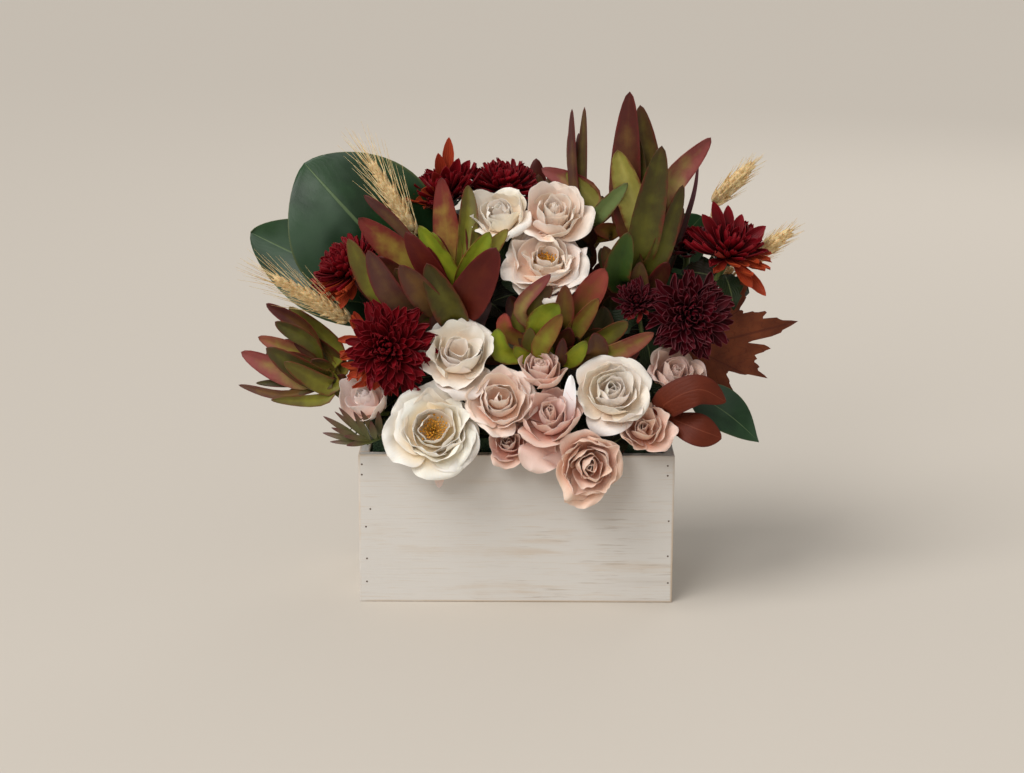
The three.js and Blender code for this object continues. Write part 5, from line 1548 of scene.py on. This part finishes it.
def stemLeaves(knots, face, kind, chance):
    # Small leaves at intervals round one stem, from the foam up to the bloom.
    leaves = []
    path = [knot / mm for knot in knots[2:]]
    forward, lowest = fillerLook["clearOfBoard"]
    count = 4 + int(sum((b - a).length for a, b in zip(path, path[1:])) / fillerLook["spacing"])
    for index in range(count):
        root = pathPoint(path, mix(0.05, 0.74, index / (count - 1)))[0] / mm
        turn = index * goldenTurn + chance.uniform(0, 1)
        out = Vector((math.cos(turn), math.sin(turn), chance.uniform(-0.1, 0.7))).normalized()
        out = (out - face * max(0, out.dot(face) + 0.25)).normalized()
        size = chance.uniform(*fillerLook["size"])
        tip = root + out * size
        if tip.y < forward:
            tip.z = max(tip.z, lowest)
        leaf = {**stemLeaf, "root": root, "tip": tip, "width": size * kind["slim"], "teeth": kind["teeth"],
                "bite": kind["bite"], "face": (out.x * 0.3, -1 if out.y < 0.5 else 1, 0.5)}
        tone = colour(*chance.choice(shadeFillerTones))
        leaves.append(shaped(leafPattern, leafForm(leaf), {"leafTone": tone}))
    return leaves


def sepal(base, face, length, degrees):
    # One of the small green leaves that hold a bloom from behind.
    out = Matrix.Rotation(math.radians(degrees), 3, face) @ face.orthogonal().normalized()
    root = base / mm
    leaf = {**sepalLeaf, "root": root, "tip": root + out * length + face * length * 0.25,
            "width": length * 0.42, "face": -face}
    return shaped(leafPattern, leafForm(leaf), {"leafTone": fillerLook["sepal"]})


def bloomStem(name, spray, finish):
    chance = random.Random(name)
    low = Vector((*spray["foot"], fillerLook["footHeight"])) * mm
    stems, leaves = [], []
    for bloomName in spray["blooms"]:
        bloom = roses.get(bloomName) or mums[bloomName]
        kind = stemKinds[bloomName.split("-")[0]]
        face = Vector(bloom["face"]).normalized()
        base = point(bloom["at"]) - face * bloom["radius"] * mm * kind["sunk"]
        before = base - face * bloom["radius"] * mm * 0.6
        radius = kind["radius"] * mm
        knots = [low, low + upward * 30 * mm, low + upward * 50 * mm, point(spray["fork"]), before, base]
        stems.append(tube(knots, [radius] * 4 + [radius * 0.8, radius * kind["neck"]], 8))
        leaves += [sepal(base, face, bloom["radius"] * kind["sepalLength"], index * 360 / kind["sepals"])
                   for index in range(kind["sepals"])]
        leaves += stemLeaves(knots, face, kind["leaf"], chance)
    # The low leaves over the rim take the first three of these dark tones, painted shade under the blooms as
    # well as leaf colour.
    for index, tip in enumerate(spray.get("skirt", ())):
        root = Vector((*spray["foot"], fillerLook["rimHeight"] + 3 * index)).lerp(Vector(tip), 0.1)
        leaf = {**skirtLeaf, "root": root, "tip": tip, "width": (Vector(tip) - root).length * 0.5,
                "face": (tip[0] * 0.004, tip[1] * 0.006, 1)}
        leaves.append(shaped(leafPattern, leafForm(leaf), {"leafTone": colour(*shadeFillerTones[index % 3])}))
    sprayOf(name, leaves, finish, fillerLook["thickness"], stems, greenStem, "green_stem")


fillerFinish = fillerMaterial()
for name, spray in sprays.items():
    bloomStem(name, spray, fillerFinish)
print("stems done")


# The camera, light and floor.
lights = {  # kind, place, what it shines at, power and tint
    "soft key": ("SUN", (0, 0, 0), (0.6, 0.47, -0.85), 1.84, (1.0, 0.985, 0.965),
                 {"angle": math.radians(36)}),
    "front softbox": ("AREA", (-0.8, -2.3, 1.5), (0, 0, 0.25), 15, (1.0, 0.99, 0.975),
                      {"shape": "DISK", "size": 0.8}),
    "back fill": ("AREA", (1.0, 2.3, 1.6), (0, 0, 0.2), 6, (1.0, 0.99, 0.98), {"shape": "DISK", "size": 1.2}),
}
stageLook = {"floor": colour(206, 198, 187), "floorSize": 70, "air": (1.0, 0.985, 0.965, 1), "airLight": 0.47}


def addObject(name, data):
    holder = bpy.data.objects.new(name, data)
    bpy.context.collection.objects.link(holder)
    return holder


def addCamera():
    camera = bpy.data.cameras.new("photo camera")
    camera.sensor_width = 36
    camera.lens = camera.sensor_width * photoView["focal"] / photoView["width"]
    camera.clip_end = 60
    holder = addObject("photo camera", camera)
    holder.matrix_world = Matrix.Translation(point(photoView["place"])) @ photoTurn.to_4x4()
    bpy.context.scene.camera = holder


def addLight(name, kind, start, target, power, tint, settings):
    lamp = bpy.data.lights.new(name, kind)
    lamp.energy = power
    lamp.color = tint
    for key, value in settings.items():
        setattr(lamp, key, value)
    holder = addObject(name, lamp)
    holder.location = start
    holder.rotation_euler = (Vector(target) - Vector(start)).to_track_quat("-Z", "Y").to_euler()


def addFloor():
    floor = added(bpy.ops.mesh.primitive_plane_add, size=stageLook["floorSize"])
    floor.name = "floor"
    floor.data.materials.append(Finish("plain pale floor", 0.9, 0.1).done(stageLook["floor"]))


addCamera()
for name, light in lights.items():
    addLight(name, *light)
addFloor()
world = bpy.data.worlds.new("soft studio")
world.use_nodes = True
air = world.node_tree.nodes["Background"].inputs
air["Color"].default_value = stageLook["air"]
air["Strength"].default_value = stageLook["airLight"]
bpy.context.scene.world = world
bpy.context.scene.view_settings.view_transform = "Standard"

for pattern in (petalPattern, rayPattern, stamenShape, leafPattern, broadPattern, lobedPattern, bladePattern,
                spikeletShape, awnShape):
    bpy.data.objects.remove(pattern)
